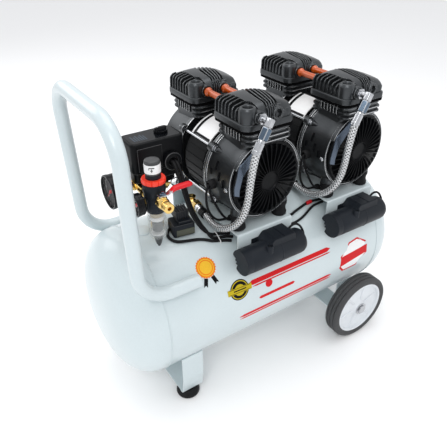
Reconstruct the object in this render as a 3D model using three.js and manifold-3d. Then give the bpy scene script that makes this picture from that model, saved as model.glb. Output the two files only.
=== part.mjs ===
// Portable twin-motor piston air compressor on a horizontal tank. Units are millimetres, +Z is up.
// The origin is on the ground, midway along the tank. +X runs along the tank towards the wheels,
// and -Y is the front, where the hoses and the capacitors are.
import * as THREE from "three";
import { mergeVertices } from "three/addons/utils/BufferGeometryUtils.js";
import Module from "manifold-3d";

const wasm = await Module();
wasm.setup();

// ---- Driving dimensions ----------------------------------------------------------------------

const GAP = 0.3; // air between two pieces that touch on the real machine
const OVER = 5; // how far a cutting tool runs past the face it cuts

const TANK = { radius: 153, half: 269.7, dome: 85.2, wall: 3, axisZ: 214.4, power: 2.4 };
const TUBE = { radius: 12.7, wall: 1.6, bend: 62 }; // carry handle tube
const HANDLE = { y: 132, weldX: -195, weldZ: 315.4, footX: -311, topX: -317.6, topZ: 636 };

const UNIT_X = [-37.5, 190]; // centres of the two compressor units
const UNIT_NAMES = ["left", "right"];
const UNIT_Y = 8.5; // how far behind the tank's middle the units sit
const PLATFORM = { width: 130, overhang: 129.5, legY: 126.5, sheet: 3, top: 370.7 };

const FOOT_STRIP = { x0: -240, x1: -192, bottom: 21 };
const WHEEL_STRIP = { x0: 186, x1: 234, bottom: 42 };
const STRIP = { y: 126, sheet: 3 };
const FOOT = { radius: 25, height: 20.7, x: -219, y: 106 };
const WHEEL = { radius: 81.4, rim: 66, width: 38, outerY: 189.5, x: 209.7 };
const AXLE = { radius: 8, bore: 8.6, reach: 195, nut: 13 };

const SHAFT_Z = 469.5;
const CASE = { inner: 46, outer: 121.5, flange: 88, body: 82, nose: 77, wall: 5, bearing: 8 };
const STATOR = { radius: 80, bore: 45, half: 33, winding: 70, windingHalf: 44 };
const ROTOR = { core: 43.5, coreHalf: 36, shaft: 8, throw: 9, eccentric: 16, fan: 66, hub: 16 };
const CYLINDER = { y: 83, width: 100, depth: 97, bottom: 544, top: 571.5, bore: 29.6 };
const STROKE = 2 * ROTOR.throw;
const HEAD = { x: -3.5, width: 110, depth: 105, bottom: 572.6, flange: 580, top: 615 };
const PORT = { z: 594.5, leftX: -27, rightX: 11, radius: 7 };
const BOLT = { x: 40, y: 38, radius: 12.5, leftTop: 611.4, rightTop: 603 };
const COVER = { radius: 74, rim: 121.9, face: 137.5, wall: 4, slots: 6 };
const LEG = { x: 49.6, y: 106.5, radius: 15 };

const HOSE = { radius: 7, sides: 8, steps: 16 };
const ELBOW = { y: -150, z: PORT.z, tilt: 28, reach: 40 };
const VALVE = { x: -76.5, y: 30, z: 380, tipX: -84, tipY: -37.5 }; // check valve, from its unit
const CAPACITOR = { radius: 25, x0: -75.5, x1: 73.5, y: -145, z: 327 };

const RISER = { x: -208, radius: 11, armZ: 468, top: 479.7 };
const MANIFOLD_ARM = { left: -258, right: -192.7, reliefZ: 451 };
const SWITCH = { x0: -255, x1: -154, glandX: -183.5, y: 28, z0: 480, z1: 554, corner: 8 };
const SWITCH_KNOB = { x: -185, y: 3, radius: 12.5 };
const REGULATOR = { x: -242, y: -75, radius: 19, ring: 20.5, knob: 13.5, bowl: 16.5 };
const TANK_GAUGE = { radius: 31.5, back: -272, face: -297, z: RISER.armZ };
const SMALL_GAUGE = { radius: 20, back: -266, face: -281, y: REGULATOR.y, z: 473 };
const DRAIN_X = -60;

// ---- Colours ---------------------------------------------------------------------------------

const paint = () => new THREE.MeshStandardMaterial({ color: 0xe3ecee, roughness: 0.35 });
const casting = () =>
  new THREE.MeshStandardMaterial({ color: 0x45484a, roughness: 0.5, metalness: 0.6 });
const blackPlastic = () => new THREE.MeshStandardMaterial({ color: 0x17181a, roughness: 0.5 });
const rubber = () => new THREE.MeshStandardMaterial({ color: 0x2b2d2f, roughness: 0.85 });
const rimWhite = () => new THREE.MeshStandardMaterial({ color: 0xe8ebf0, roughness: 0.45 });
const steel = () =>
  new THREE.MeshStandardMaterial({ color: 0xb9bdc2, roughness: 0.3, metalness: 1 });
const braid = () =>
  new THREE.MeshStandardMaterial({ color: 0xc4c4c4, roughness: 0.45, metalness: 0.8 });
const brass = () =>
  new THREE.MeshStandardMaterial({ color: 0xc89b3c, roughness: 0.3, metalness: 1 });
const aluminium = () =>
  new THREE.MeshStandardMaterial({ color: 0xa9acb0, roughness: 0.45, metalness: 1 });
const copper = () =>
  new THREE.MeshStandardMaterial({ color: 0xc8521a, roughness: 0.35, metalness: 0.7 });
const red = () => new THREE.MeshStandardMaterial({ color: 0xe01f2d, roughness: 0.45 });
const clear = () =>
  new THREE.MeshStandardMaterial({ color: 0xdfe6e4, roughness: 0.1, opacity: 0.4 });
const lamination = () =>
  new THREE.MeshStandardMaterial({ color: 0x1b1c1f, roughness: 0.6, metalness: 0.4 });

// ---- Solids ----------------------------------------------------------------------------------

// A three.js geometry as a closed solid whose faces point out.
function solid(geometry) {
  const bare = geometry.index ? geometry.toNonIndexed() : geometry.clone();
  bare.deleteAttribute("normal");
  bare.deleteAttribute("uv");
  const merged = mergeVertices(bare, 1e-3);
  const triangles = [];
  for (let i = 0; i < merged.index.count; i += 3) {
    const [a, b, c] = merged.index.array.slice(i, i + 3);
    if (a !== b && b !== c && c !== a) triangles.push(a, b, c);
  }
  const vertProperties = merged.attributes.position.array;
  const made = manifoldOf(vertProperties, triangles);
  if (made.volume() > 0) return made;
  return manifoldOf(vertProperties, triangles.reverse());
}

function manifoldOf(vertProperties, triangles) {
  const triVerts = new Uint32Array(triangles);
  return new wasm.Manifold(new wasm.Mesh({ numProp: 3, vertProperties, triVerts }));
}

// A solid as a three.js geometry.
function geometryOf(made) {
  const mesh = made.getMesh();
  const geometry = new THREE.BufferGeometry();
  geometry.setAttribute("position", new THREE.BufferAttribute(mesh.vertProperties, 3));
  geometry.setIndex(new THREE.BufferAttribute(mesh.triVerts, 1));
  geometry.computeVertexNormals();
  return geometry;
}

// Geometries joined into one, and then cut by others.
function carve(joined, cutters = []) {
  let made = solid(joined[0]);
  for (const more of joined.slice(1)) made = made.add(solid(more));
  for (const cutter of cutters) made = made.subtract(solid(cutter));
  return geometryOf(made);
}

function box(x0, x1, y0, y1, z0, z1) {
  const geometry = new THREE.BoxGeometry(x1 - x0, y1 - y0, z1 - z0);
  return geometry.translate((x0 + x1) / 2, (y0 + y1) / 2, (z0 + z1) / 2);
}

// A round or many-sided bar from a to b along an axis; the other two centre coordinates follow in
// X, Y, Z order. radiusB makes a cone.
function bar(axis, radius, a, b, u, v, sides = 16, radiusB = radius) {
  const geometry = new THREE.CylinderGeometry(radiusB, radius, b - a, sides);
  geometry.rotateY(Math.PI / sides);
  if (axis === "x") return geometry.rotateZ(-Math.PI / 2).translate((a + b) / 2, u, v);
  if (axis === "y") return geometry.translate(u, (a + b) / 2, v);
  return geometry.rotateX(Math.PI / 2).translate(u, v, (a + b) / 2);
}

// A turned solid. Each profile point is [radius, place along the axis].
function turned(axis, profile, sides) {
  const points = profile.map(([r, h]) => new THREE.Vector2(r, h));
  const geometry = new THREE.LatheGeometry(points, sides);
  if (axis === "x") return geometry.rotateZ(-Math.PI / 2);
  if (axis === "z") return geometry.rotateX(Math.PI / 2);
  return geometry;
}

// A profile drawn in Y and Z, pushed along X.
function pushedAlongX(points, x0, x1) {
  const shape = new THREE.Shape(points.map(([y, z]) => new THREE.Vector2(y, z)));
  const geometry = new THREE.ExtrudeGeometry(shape, { depth: x1 - x0, bevelEnabled: false });
  return geometry.rotateX(Math.PI / 2).rotateZ(Math.PI / 2).translate(x0, 0, 0);
}

function circle(radius, sides) {
  const points = [];
  for (let i = 0; i < sides; i += 1) {
    const angle = (2 * Math.PI * i) / sides;
    points.push(new THREE.Vector2(radius * Math.cos(angle), radius * Math.sin(angle)));
  }
  return points;
}

function roundedRectangle(width, depth, corner) {
  const x = width / 2;
  const y = depth / 2;
  const shape = new THREE.Shape();
  shape.moveTo(-x + corner, -y);
  shape.lineTo(x - corner, -y);
  shape.quadraticCurveTo(x, -y, x, -y + corner);
  shape.lineTo(x, y - corner);
  shape.quadraticCurveTo(x, y, x - corner, y);
  shape.lineTo(-x + corner, y);
  shape.quadraticCurveTo(-x, y, -x, y - corner);
  shape.lineTo(-x, -y + corner);
  shape.quadraticCurveTo(-x, -y, -x + corner, -y);
  return shape;
}

// A rounded block standing on z0, centred on x and y.
function roundedBlock(width, depth, corner, x, y, z0, z1, curveSegments = 1) {
  const depthOptions = { depth: z1 - z0, bevelEnabled: false, curveSegments };
  const geometry = new THREE.ExtrudeGeometry(roundedRectangle(width, depth, corner), depthOptions);
  return geometry.translate(x, y, z0);
}

// Points along straight runs whose corners are rounded with a few short steps.
function roundedRun(corners, radius, stepsPerBend) {
  const points = [corners[0]];
  for (let i = 1; i < corners.length - 1; i += 1) {
    const before = corners[i - 1].clone().sub(corners[i]).normalize();
    const after = corners[i + 1].clone().sub(corners[i]).normalize();
    const setBack = radius / Math.tan(before.angleTo(after) / 2);
    const from = corners[i].clone().addScaledVector(before, setBack);
    const to = corners[i].clone().addScaledVector(after, setBack);
    const middle = corners[i].clone().add(before.add(after).setLength(Math.hypot(setBack, radius)));
    const start = from.sub(middle);
    const turn = new THREE.Vector3().crossVectors(start, to.sub(middle));
    const sweep = start.angleTo(to);
    turn.normalize();
    for (let k = 0; k <= stepsPerBend; k += 1) {
      points.push(start.clone().applyAxisAngle(turn, (sweep * k) / stepsPerBend).add(middle));
    }
  }
  points.push(corners[corners.length - 1]);
  return points;
}

// A tube with one ring of vertices at each point it passes through.
function tubeThrough(points, radius, sides, hole = 0) {
  const path = new THREE.CatmullRomCurve3(points);
  path.getUtoTmapping = (u) => u;
  return tubeAlong(path, radius, sides, points.length - 1, hole);
}

function tubeAlong(path, radius, sides, steps, hole = 0) {
  const shape = new THREE.Shape(circle(radius, sides));
  if (hole > 0) shape.holes.push(new THREE.Path(circle(hole, sides - 2).reverse()));
  return new THREE.ExtrudeGeometry(shape, { steps, extrudePath: path, bevelEnabled: false });
}

// Height of the tank's upper (side 1) or lower (side -1) surface at a distance y from its middle.
function tankZ(y, side) {
  return TANK.axisZ + side * Math.sqrt(TANK.radius ** 2 - y ** 2);
}

function part(name, geometry, material) {
  const mesh = new THREE.Mesh(geometry, material);
  mesh.name = name;
  return mesh;
}

// ---- Tank, handle and brackets ---------------------------------------------------------------

function vessel(radius, half, dome, sides, rings) {
  const profile = [];
  for (let i = 0; i <= rings; i += 1) {
    const angle = (Math.PI / 2) * (i / rings);
    const r = radius * Math.sin(angle) ** (2 / TANK.power);
    profile.push([r, half + dome * Math.cos(angle) ** (2 / TANK.power)]);
  }
  profile[0][0] = 0;
  const other = profile.map(([r, h]) => [r, -h]).reverse();
  return turned("x", [...profile, ...other].reverse(), sides).translate(0, 0, TANK.axisZ);
}

function tank() {
  const sides = 32;
  const shell = vessel(TANK.radius, TANK.half, TANK.dome, sides, 6);
  const inside = vessel(TANK.radius - TANK.wall, TANK.half, TANK.dome - TANK.wall, sides, 3);
  const bottom = tankZ(0, -1);
  const top = tankZ(0, 1);
  const drainBoss = bar("z", 13, bottom - 7, bottom + 2, DRAIN_X, 0, 12);
  const holes = [
    bar("z", 6, bottom - 20, bottom + 20, DRAIN_X, 0, 12),
    bar("z", 8, top - 20, top + 20, RISER.x, 0, 12),
  ];
  for (const x of UNIT_X) {
    holes.push(bar("z", 6, top - 20, top + 20, x + VALVE.x, VALVE.y, 12));
  }
  return part("tank", carve([shell, drainBoss], [inside, ...holes]), paint());
}

function carryHandle() {
  const corner = (x, side, z) => new THREE.Vector3(x, side * HANDLE.y, z);
  const points = [
    corner(HANDLE.weldX, -1, HANDLE.weldZ),
    corner(HANDLE.footX, -1, HANDLE.weldZ),
    corner(HANDLE.topX, -1, HANDLE.topZ),
    corner(HANDLE.topX, 1, HANDLE.topZ),
    corner(HANDLE.footX, 1, HANDLE.weldZ),
    corner(HANDLE.weldX, 1, HANDLE.weldZ),
  ];
  const run = roundedRun(points, TUBE.bend, 4);
  const tube = tubeThrough(run, TUBE.radius, 8, TUBE.radius - TUBE.wall);
  return part("carry_handle", carve([tube]), paint());
}

function platform(name, x) {
  const { overhang, legY, sheet, top } = PLATFORM;
  const under = top - sheet;
  const leg = (side) => {
    const foot = tankZ(UNIT_Y + side * (legY - sheet), 1) + GAP;
    const outline = [
      [overhang, top],
      [overhang, under],
      [legY, under],
      [legY, foot],
      [legY - sheet, foot],
      [legY - sheet, under],
    ];
    return outline.map(([y, z]) => [UNIT_Y + side * y, z]);
  };
  const outline = [...leg(1), ...leg(-1).reverse()];
  const half = PLATFORM.width / 2;
  return part(name, carve([pushedAlongX(outline, x - half, x + half)]), paint());
}

// One half of a folded strip that hangs from the tank's sides and passes below it.
function stripProfile(bottom, lowerY) {
  const { y, sheet } = STRIP;
  const inner = y - sheet;
  const knee = bottom + 41;
  const half = [
    [lowerY, bottom],
    [y, knee],
    [y, tankZ(y, -1) - 2 * GAP],
    [inner, tankZ(inner, -1) - 2 * GAP],
    [inner, knee],
    [lowerY - sheet, bottom + sheet],
  ];
  return [...half, ...half.map(([v, z]) => [-v, z]).reverse()];
}

function footBracket() {
  const profile = stripProfile(FOOT_STRIP.bottom, STRIP.y - 7);
  return part("foot_bracket", carve([pushedAlongX(profile, FOOT_STRIP.x0, FOOT_STRIP.x1)]), paint());
}

function wheelBracket() {
  const profile = stripProfile(WHEEL_STRIP.bottom, STRIP.y);
  const joined = [pushedAlongX(profile, WHEEL_STRIP.x0, WHEEL_STRIP.x1)];
  const root = STRIP.y - 1;
  for (const [near, far, nut] of [
    [root, AXLE.reach, WHEEL.outerY + 1],
    [-AXLE.reach, -root, -AXLE.reach],
  ]) {
    joined.push(bar("y", AXLE.radius, near, far, WHEEL.x, WHEEL.radius, 16));
    joined.push(bar("y", AXLE.nut, nut, nut + 4.5, WHEEL.x, WHEEL.radius, 6));
  }
  return part("wheel_bracket", carve(joined), paint());
}

function rubberFoot(name, y) {
  const { radius, height } = FOOT;
  const profile = [
    [0, 0],
    [radius - 3, 0],
    [radius, 4],
    [radius - 2, height],
    [0, height],
  ];
  return part(name, carve([turned("z", profile, 20)]).translate(FOOT.x, y, 0), rubber());
}

// ---- Wheels ----------------------------------------------------------------------------------

function wheel(side) {
  const { radius, rim, width, outerY, x } = WHEEL;
  const name = side < 0 ? "front" : "rear";
  const out = width / 2;
  const tyreProfile = [
    [rim + GAP, -out + 3],
    [radius - 6, -out],
    [radius, -out + 6],
    [radius, out - 6],
    [radius - 6, out],
    [rim + GAP, out - 3],
    [rim + GAP, -out + 3],
  ];
  const rimProfile = [
    [AXLE.bore, -out],
    [18, -out],
    [18, -4],
    [rim - 5, -4],
    [rim - 4, -out + 3],
    [rim, -out + 3],
    [rim, out - 3],
    [rim - 4, out - 3],
    [rim - 8, 4],
    [18, out],
    [AXLE.bore, out],
    [AXLE.bore, -out],
  ];
  const group = new THREE.Group();
  group.position.set(x, side * (outerY - out), radius);
  if (side < 0) group.rotation.z = Math.PI;
  group.add(part(`tyre_${name}`, carve([turned("y", tyreProfile, 24)]), rubber()));
  group.add(part(`rim_${name}`, carve([turned("y", rimProfile, 24)]), rimWhite()));
  return group;
}

// ---- One compressor unit ---------------------------------------------------------------------

// The rear crankcase; the front one is the same casting turned half a turn about Z.
function crankcase() {
  const { inner, outer, flange, body, nose, wall, bearing } = CASE;
  const shell = [
    [0, inner + 6],
    [flange - 8, inner + 6],
    [flange - 8, inner],
    [flange, inner],
    [flange, inner + 8],
    [body, inner + 12],
    [nose, outer],
    [0, outer],
  ];
  const chamber = [
    [0, inner + 6 + bearing],
    [body - wall, inner + 6 + bearing],
    [nose - wall, outer + OVER],
    [0, outer + OVER],
  ];
  const { y, width, depth, bottom, top, bore } = CYLINDER;
  const fin = 4;
  const joined = [
    turned("y", shell, 20).translate(0, 0, SHAFT_Z),
    roundedBlock(width - 12, 2 * (outer - y), 10, 0, y, SHAFT_Z + 60, top),
  ];
  for (let z = bottom; z < top - fin; z += 3.2 * fin) {
    joined.push(roundedBlock(width, depth, 14, 0, y, z, z + fin));
  }
  joined.push(roundedBlock(width, depth, 14, 0, y, top - fin, top));
  for (const x of [-LEG.x, LEG.x]) {
    joined.push(bar("z", LEG.radius, PLATFORM.top + GAP, SHAFT_Z - 50, x, LEG.y, 8));
  }
  const cutters = [
    turned("y", chamber, 20).translate(0, 0, SHAFT_Z),
    bar("y", ROTOR.shaft + 1.4, inner - OVER, outer, 0, SHAFT_Z, 10),
    bar("z", bore, bottom - 6, top + OVER, 0, y, 18),
  ];
  return carve(joined, cutters);
}

// A flat outline in X and Z, pushed along Y from y0 to y1.
function pushedAlongY(outline, y0, y1) {
  const shape = new THREE.Shape(outline.map(([u, v]) => new THREE.Vector2(u, v)));
  const geometry = new THREE.ExtrudeGeometry(shape, { depth: y1 - y0, bevelEnabled: false });
  return geometry.rotateX(Math.PI / 2).translate(0, y1, 0);
}

function cylinderHead() {
  const { x: middle, width, depth, bottom, flange, top } = HEAD;
  const round = 14; // rounding of the upper edge
  const capOptions = { depth: 2, bevelSize: round, bevelThickness: round, bevelSegments: 3 };
  const capOutline = roundedRectangle(width - 8 - 2 * round, depth - 8 - 2 * round, 12);
  const cap = new THREE.ExtrudeGeometry(capOutline, { ...capOptions, curveSegments: 2 });
  cap.translate(middle, 0, top - round - 2);
  const joined = [
    roundedBlock(width, depth, 16, middle, 0, bottom, flange),
    roundedBlock(width - 8, depth - 8, 16, middle, 0, flange - 1, top - round - 1),
    cap,
  ];
  const finWidth = 2.6;
  const sideFin = [
    [-8, flange],
    [-8, top + 2.5],
    [-44, top - 2],
    [-52, top - 7],
    [-56, flange],
  ];
  for (let i = 0; i < 5; i += 1) {
    const y = -18 + 13 * i;
    joined.push(pushedAlongY(sideFin, y, y + finWidth));
  }
  for (let i = 0; i < 3; i += 1) {
    const x = -1 + 10 * i;
    const high = top + 2 - 2 * i;
    joined.push(box(x, x + finWidth, -depth / 2 + 12, depth / 2 - 8, flange, high));
  }
  for (const x of [-BOLT.x, BOLT.x]) {
    const boltTop = x < 0 ? BOLT.leftTop : BOLT.rightTop;
    for (const y of [-BOLT.y, BOLT.y]) {
      joined.push(bar("z", BOLT.radius, flange, boltTop, middle + x, y, 12));
    }
  }
  const cutters = [];
  for (const x of [PORT.leftX, PORT.rightX]) {
    for (const side of [-1, 1]) {
      const near = side < 0 ? -depth / 2 - OVER : depth / 2 - 14;
      cutters.push(bar("y", PORT.radius, near, near + 14 + OVER, x, PORT.z, 8));
      const collar = side < 0 ? 0.8 - depth / 2 : depth / 2 - 12;
      joined.push(bar("y", PORT.radius + 4, collar, collar + 11.2, x, PORT.z, 12));
    }
  }
  return carve(joined, cutters);
}

function fanCover() {
  const { radius, rim, face, wall, slots } = COVER;
  const profile = [
    [0, face - wall],
    [20, face - wall],
    [60, face - 10],
    [radius - wall, rim],
    [radius, rim],
    [radius - 2, rim + 5],
    [60, face - 5],
    [20, face],
    [0, face],
  ];
  const cutters = [];
  for (let i = 0; i < slots; i += 1) {
    const slot = box(24, radius - 12, 0, face + OVER, -3, 3);
    cutters.push(slot.rotateY((2 * Math.PI * i) / slots));
  }
  return carve([turned("y", profile, 20)], cutters).translate(0, 0, SHAFT_Z);
}

function stator() {
  const { radius, bore, half, winding, windingHalf } = STATOR;
  const profile = [
    [bore, -windingHalf],
    [winding, -windingHalf],
    [winding, -half],
    [radius, -half],
    [radius, half],
    [winding, half],
    [winding, windingHalf],
    [bore, windingHalf],
    [bore, -windingHalf],
  ];
  return carve([turned("y", profile, 16)]).translate(0, 0, SHAFT_Z);
}

// The shaft with everything that is keyed or pressed on it: rotor core, two eccentrics, two fans.
function rotor() {
  const { core, coreHalf, shaft, eccentric, fan, hub } = ROTOR;
  const reach = COVER.face - COVER.wall - 2;
  const joined = [
    bar("y", shaft, -reach, reach, 0, 0, 8),
    bar("y", core, -coreHalf, coreHalf, 0, 0, 16),
  ];
  for (const side of [-1, 1]) {
    const along = (near, far) => (side > 0 ? [near, far] : [-far, -near]);
    joined.push(bar("y", eccentric, ...along(76, 90), 0, ROTOR.throw, 12));
    joined.push(bar("y", hub, ...along(106, 121), 0, 0, 8));
    for (let i = 0; i < 4; i += 1) {
      const [y0, y1] = along(109, 120);
      const blade = box(hub - 3, fan, y0, y1, -1.2, 1.2);
      joined.push(blade.rotateY((Math.PI * (i + 0.5)) / 2));
    }
  }
  return carve(joined).translate(0, 0, SHAFT_Z);
}

// A wobble piston: crown, rod and big end in one piece. The big end is a slot that clears the
// eccentric's whole circle, because the crank pivot is left open.
function piston() {
  const crown = 10;
  const swing = ROTOR.throw + ROTOR.eccentric + 1;
  const slotHeight = swing + ROTOR.throw;
  const ring = 7;
  const big = new THREE.Shape();
  const hole = new THREE.Path();
  for (const [outline, margin] of [[big, ring], [hole, 0]]) {
    outline.moveTo(swing + margin, -ROTOR.throw);
    outline.lineTo(swing + margin, ROTOR.throw);
    outline.absarc(0, ROTOR.throw, swing + margin, 0, Math.PI);
    outline.lineTo(-swing - margin, -ROTOR.throw);
    outline.absarc(0, -ROTOR.throw, swing + margin, Math.PI, 2 * Math.PI);
  }
  big.holes.push(hole);
  const options = { depth: 10, bevelEnabled: false, curveSegments: 4 };
  const eye = new THREE.ExtrudeGeometry(big, options).rotateX(Math.PI / 2);
  eye.translate(0, CYLINDER.y + 5, SHAFT_Z);
  const crownZ = CYLINDER.top - 1 - ROTOR.throw - crown;
  const rodFoot = SHAFT_Z + slotHeight + 2;
  const rod = box(-6, 6, CYLINDER.y - 4, CYLINDER.y + 4, rodFoot, crownZ + 1);
  const disc = bar("z", CYLINDER.bore - 0.8, crownZ, crownZ + crown, 0, CYLINDER.y, 12);
  return carve([disc, rod, eye]);
}

function transferTube(x) {
  const reach = CYLINDER.y - HEAD.depth / 2 + 10;
  return carve([bar("y", PORT.radius - 1, -reach, reach, x, PORT.z, 12)]);
}

// The fitting from the head's front port; its lower arm leans towards the handle.
function hoseElbow() {
  const { y, z, tilt, reach } = ELBOW;
  const face = UNIT_Y - CYLINDER.y - HEAD.depth / 2;
  const arm = [
    [0, 7],
    [8, 7],
    [8, -14],
    [11.5, -14],
    [11.5, -27],
    [8.3, -28],
    [8.3, -reach],
    [0, -reach],
  ];
  const down = turned("z", arm, 12);
  const lean = THREE.MathUtils.degToRad(tilt);
  down.rotateY(lean).translate(PORT.leftX, y, z);
  const inlet = bar("y", 6, y, face + 10, PORT.leftX, z, 12);
  const collar = bar("y", 10, face - 9, face - GAP, PORT.leftX, z, 6);
  return carve([down, inlet, collar]);
}

// Centre line of the braided hose, from the elbow down past the platform to the check valve.
function hosePath() {
  const lean = THREE.MathUtils.degToRad(ELBOW.tilt);
  const corner = new THREE.Vector3(PORT.leftX, ELBOW.y, ELBOW.z);
  const down = new THREE.Vector3(-Math.sin(lean), 0, -Math.cos(lean));
  const tip = new THREE.Vector3(VALVE.tipX, VALVE.tipY, VALVE.z);
  const away = new THREE.Vector3(VALVE.tipX - VALVE.x, VALVE.tipY - VALVE.y, 0).normalize();
  const route = [
    [-52.8, -150.4, 540],
    [-58, -151, 520],
    [-62, -151, 497],
    [-65, -150.5, 470],
    [-68.5, -148.5, 446],
    [-74, -143, 424],
    [-80.5, -132, 406],
    [-86.5, -116, 393.5],
    [-89.5, -97, 385],
    [-89, -76, 381],
    [-86.8, -58, VALVE.z],
  ].map((p) => new THREE.Vector3(...p));
  route.unshift(corner.clone().addScaledVector(down, ELBOW.reach + 5));
  route.unshift(corner.clone().addScaledVector(down, ELBOW.reach + GAP));
  route.push(tip.clone().addScaledVector(away, 6), tip.clone().addScaledVector(away, GAP));
  return new THREE.CatmullRomCurve3(route);
}

function hose() {
  return carve([tubeAlong(hosePath(), HOSE.radius, HOSE.sides, HOSE.steps)]);
}

// Brass check valve on the tank's top, with the hose nut on its front arm.
function checkValve() {
  const { x, y, z, tipX, tipY } = VALVE;
  const seat = tankZ(y - 10, 1) + GAP;
  const reach = Math.hypot(x - tipX, y - tipY);
  const stem = bar("z", 5.4, seat - 10, seat + 2, x, y, 12);
  const body = bar("z", 10, seat, z + 10, x, y, 8);
  const arm = turned("y", [
    [0, -reach],
    [8.3, -reach],
    [8.3, -38],
    [11, -37],
    [11, -20],
    [7, -19],
    [7, 0],
    [0, 0],
  ], 12);
  arm.rotateZ(-Math.atan2(x - tipX, y - tipY)).translate(x, y, z);
  return carve([stem, body, arm]);
}

function capacitorHousing() {
  const { radius, x0, x1, y, z } = CAPACITOR;
  const can = turned("x", [
    [0, x0],
    [radius, x0],
    [radius, x1 - 9],
    [radius - 7, x1 - 2],
    [radius - 15, x1],
    [0, x1],
  ], 20).translate(0, y, z);
  const lidFront = y - 15;
  const lidBack = UNIT_Y - PLATFORM.legY - GAP;
  const lid = [
    [-28, z + 12],
    [-12, z + 33],
    [42, z + 33],
    [46, z + 12],
  ];
  const shape = new THREE.Shape(lid.map(([u, v]) => new THREE.Vector2(u, v)));
  const options = { depth: lidBack - lidFront, bevelEnabled: false };
  const terminals = new THREE.ExtrudeGeometry(shape, options).rotateX(Math.PI / 2);
  terminals.translate(0, lidBack, 0);
  const notch = box(x0 - OVER, x0 + 8, y - 14, y + 4, z - 12, z + 10);
  return carve([can, terminals], [notch]);
}

function compressorUnit(index) {
  const side = UNIT_NAMES[index];
  const unit = new THREE.Group();
  unit.position.x = UNIT_X[index];
  const motor = new THREE.Group();
  motor.position.y = UNIT_Y;
  unit.add(motor);
  for (const [end, turn, sign] of [["front", Math.PI, -1], ["rear", 0, 1]]) {
    const half = new THREE.Group();
    half.rotation.z = turn;
    half.add(part(`crankcase_${side}_${end}`, crankcase(), casting()));
    half.add(part(`fan_cover_${side}_${end}`, fanCover(), blackPlastic()));
    half.add(part(`piston_${side}_${end}`, piston(), aluminium()));
    motor.add(half);
    const head = part(`cylinder_head_${side}_${end}`, cylinderHead(), casting());
    head.position.y = sign * CYLINDER.y;
    motor.add(head);
  }
  motor.add(part(`stator_${side}`, stator(), lamination()));
  motor.add(part(`rotor_${side}`, rotor(), steel()));
  motor.add(part(`transfer_tube_${side}_a`, transferTube(PORT.leftX), copper()));
  motor.add(part(`transfer_tube_${side}_b`, transferTube(PORT.rightX), copper()));
  unit.add(part(`hose_elbow_${side}`, hoseElbow(), steel()));
  unit.add(part(`air_hose_${side}`, hose(), braid()));
  unit.add(part(`check_valve_${side}`, checkValve(), brass()));
  unit.add(part(`capacitor_housing_${side}`, capacitorHousing(), blackPlastic()));
  return unit;
}

// ---- Controls at the handle end --------------------------------------------------------------

function manifoldBlock() {
  const { x, radius, armZ, top } = RISER;
  const seat = tankZ(0, 1);
  const joined = [
    bar("z", 7.4, seat - 10, seat + 5, x, 0, 12),
    bar("z", radius, seat + GAP, top, x, 0, 16),
    bar("z", radius + 4, armZ - 12, armZ + 8, x, 0, 6),
    bar("x", 8, MANIFOLD_ARM.left, x, 0, armZ, 12),
    bar("x", 7, x, MANIFOLD_ARM.right, 0, MANIFOLD_ARM.reliefZ, 12),
    bar("y", 8, REGULATOR.y + REGULATOR.radius + GAP, 0, REGULATOR.x, armZ, 12),
  ];
  return part("manifold", carve(joined), brass());
}

function pressureSwitch() {
  const { x0, x1, y, z0, z1, corner, glandX } = SWITCH;
  const block = roundedRectangle(x1 - x0 - 6, 2 * y - 6, corner);
  const options = { depth: z1 - z0 - 6, bevelSize: 3, bevelThickness: 3, bevelSegments: 1 };
  const cover = new THREE.ExtrudeGeometry(block, { ...options, curveSegments: 2 });
  cover.translate((x0 + x1) / 2, 0, z0 + 3);
  const gland = bar("y", 17, -y - 10, -y + 2, glandX, z0 + 32, 16);
  const bore = bar("y", 10, -y - 10 - OVER, -y - 2, glandX, z0 + 32, 12);
  return part("pressure_switch", carve([cover, gland], [bore]), blackPlastic());
}

function switchKnob() {
  const { x, y, radius } = SWITCH_KNOB;
  const base = SWITCH.z1 + GAP;
  const skirt = bar("z", radius, base, base + 4, x, y, 16, radius - 1);
  const wing = box(x - radius, x + radius, y - 3, y + 3, base, base + 10);
  return part("switch_knob", carve([skirt, wing]), blackPlastic());
}

// The body turned about the vertical axis of the filter regulator; each point is [radius, z].
function regulatorPiece(name, profile, sides, material, cutters = []) {
  const geometry = turned("z", profile, sides).translate(REGULATOR.x, REGULATOR.y, 0);
  return part(name, carve([geometry], cutters), material);
}

function regulator() {
  const { x, y, radius, ring, knob, bowl } = REGULATOR;
  const bodyProfile = [
    [0, 452],
    [radius, 452],
    [radius, 506],
    [ring, 507],
    [ring, 515],
    [13, 516],
    [13, 522],
    [0, 522],
  ];
  const knobProfile = [
    [0, 522 + GAP],
    [knob, 522 + GAP],
    [knob, 545],
    [knob - 2, 547],
    [0, 547],
  ];
  const bowlProfile = [
    [0, 396],
    [4, 395],
    [4, 379],
    [7, 378],
    [8, 396],
    [bowl - 2, 400],
    [bowl, 406],
    [bowl, 452 - GAP],
    [bowl - 2.5, 452 - GAP],
    [bowl - 2.5, 407],
    [bowl - 5, 402],
    [0, 400],
  ];
  const body = regulatorPiece("regulator_body", bodyProfile, 20, blackPlastic());
  const knobPiece = regulatorPiece("regulator_knob", knobProfile, 16, blackPlastic());
  const drip = bar("z", 3, 370, 385, x, y, 8);
  const bowlPiece = regulatorPiece("regulator_bowl", bowlProfile, 16, clear(), [drip]);
  return [body, knobPiece, bowlPiece];
}

// A gauge that faces the handle: a cup with a socket behind, open at the dial.
function gauge(name, { radius, back, face, y = 0, z }, stem, stemTip) {
  const profile = [
    [0, stemTip],
    [stem, stemTip],
    [stem, back],
    [radius, back],
    [radius, face],
    [radius - 3, face],
    [radius - 3, face + 8],
    [0, face + 8],
  ];
  return part(name, carve([turned("x", profile, 20)]).translate(0, y, z), blackPlastic());
}

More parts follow.
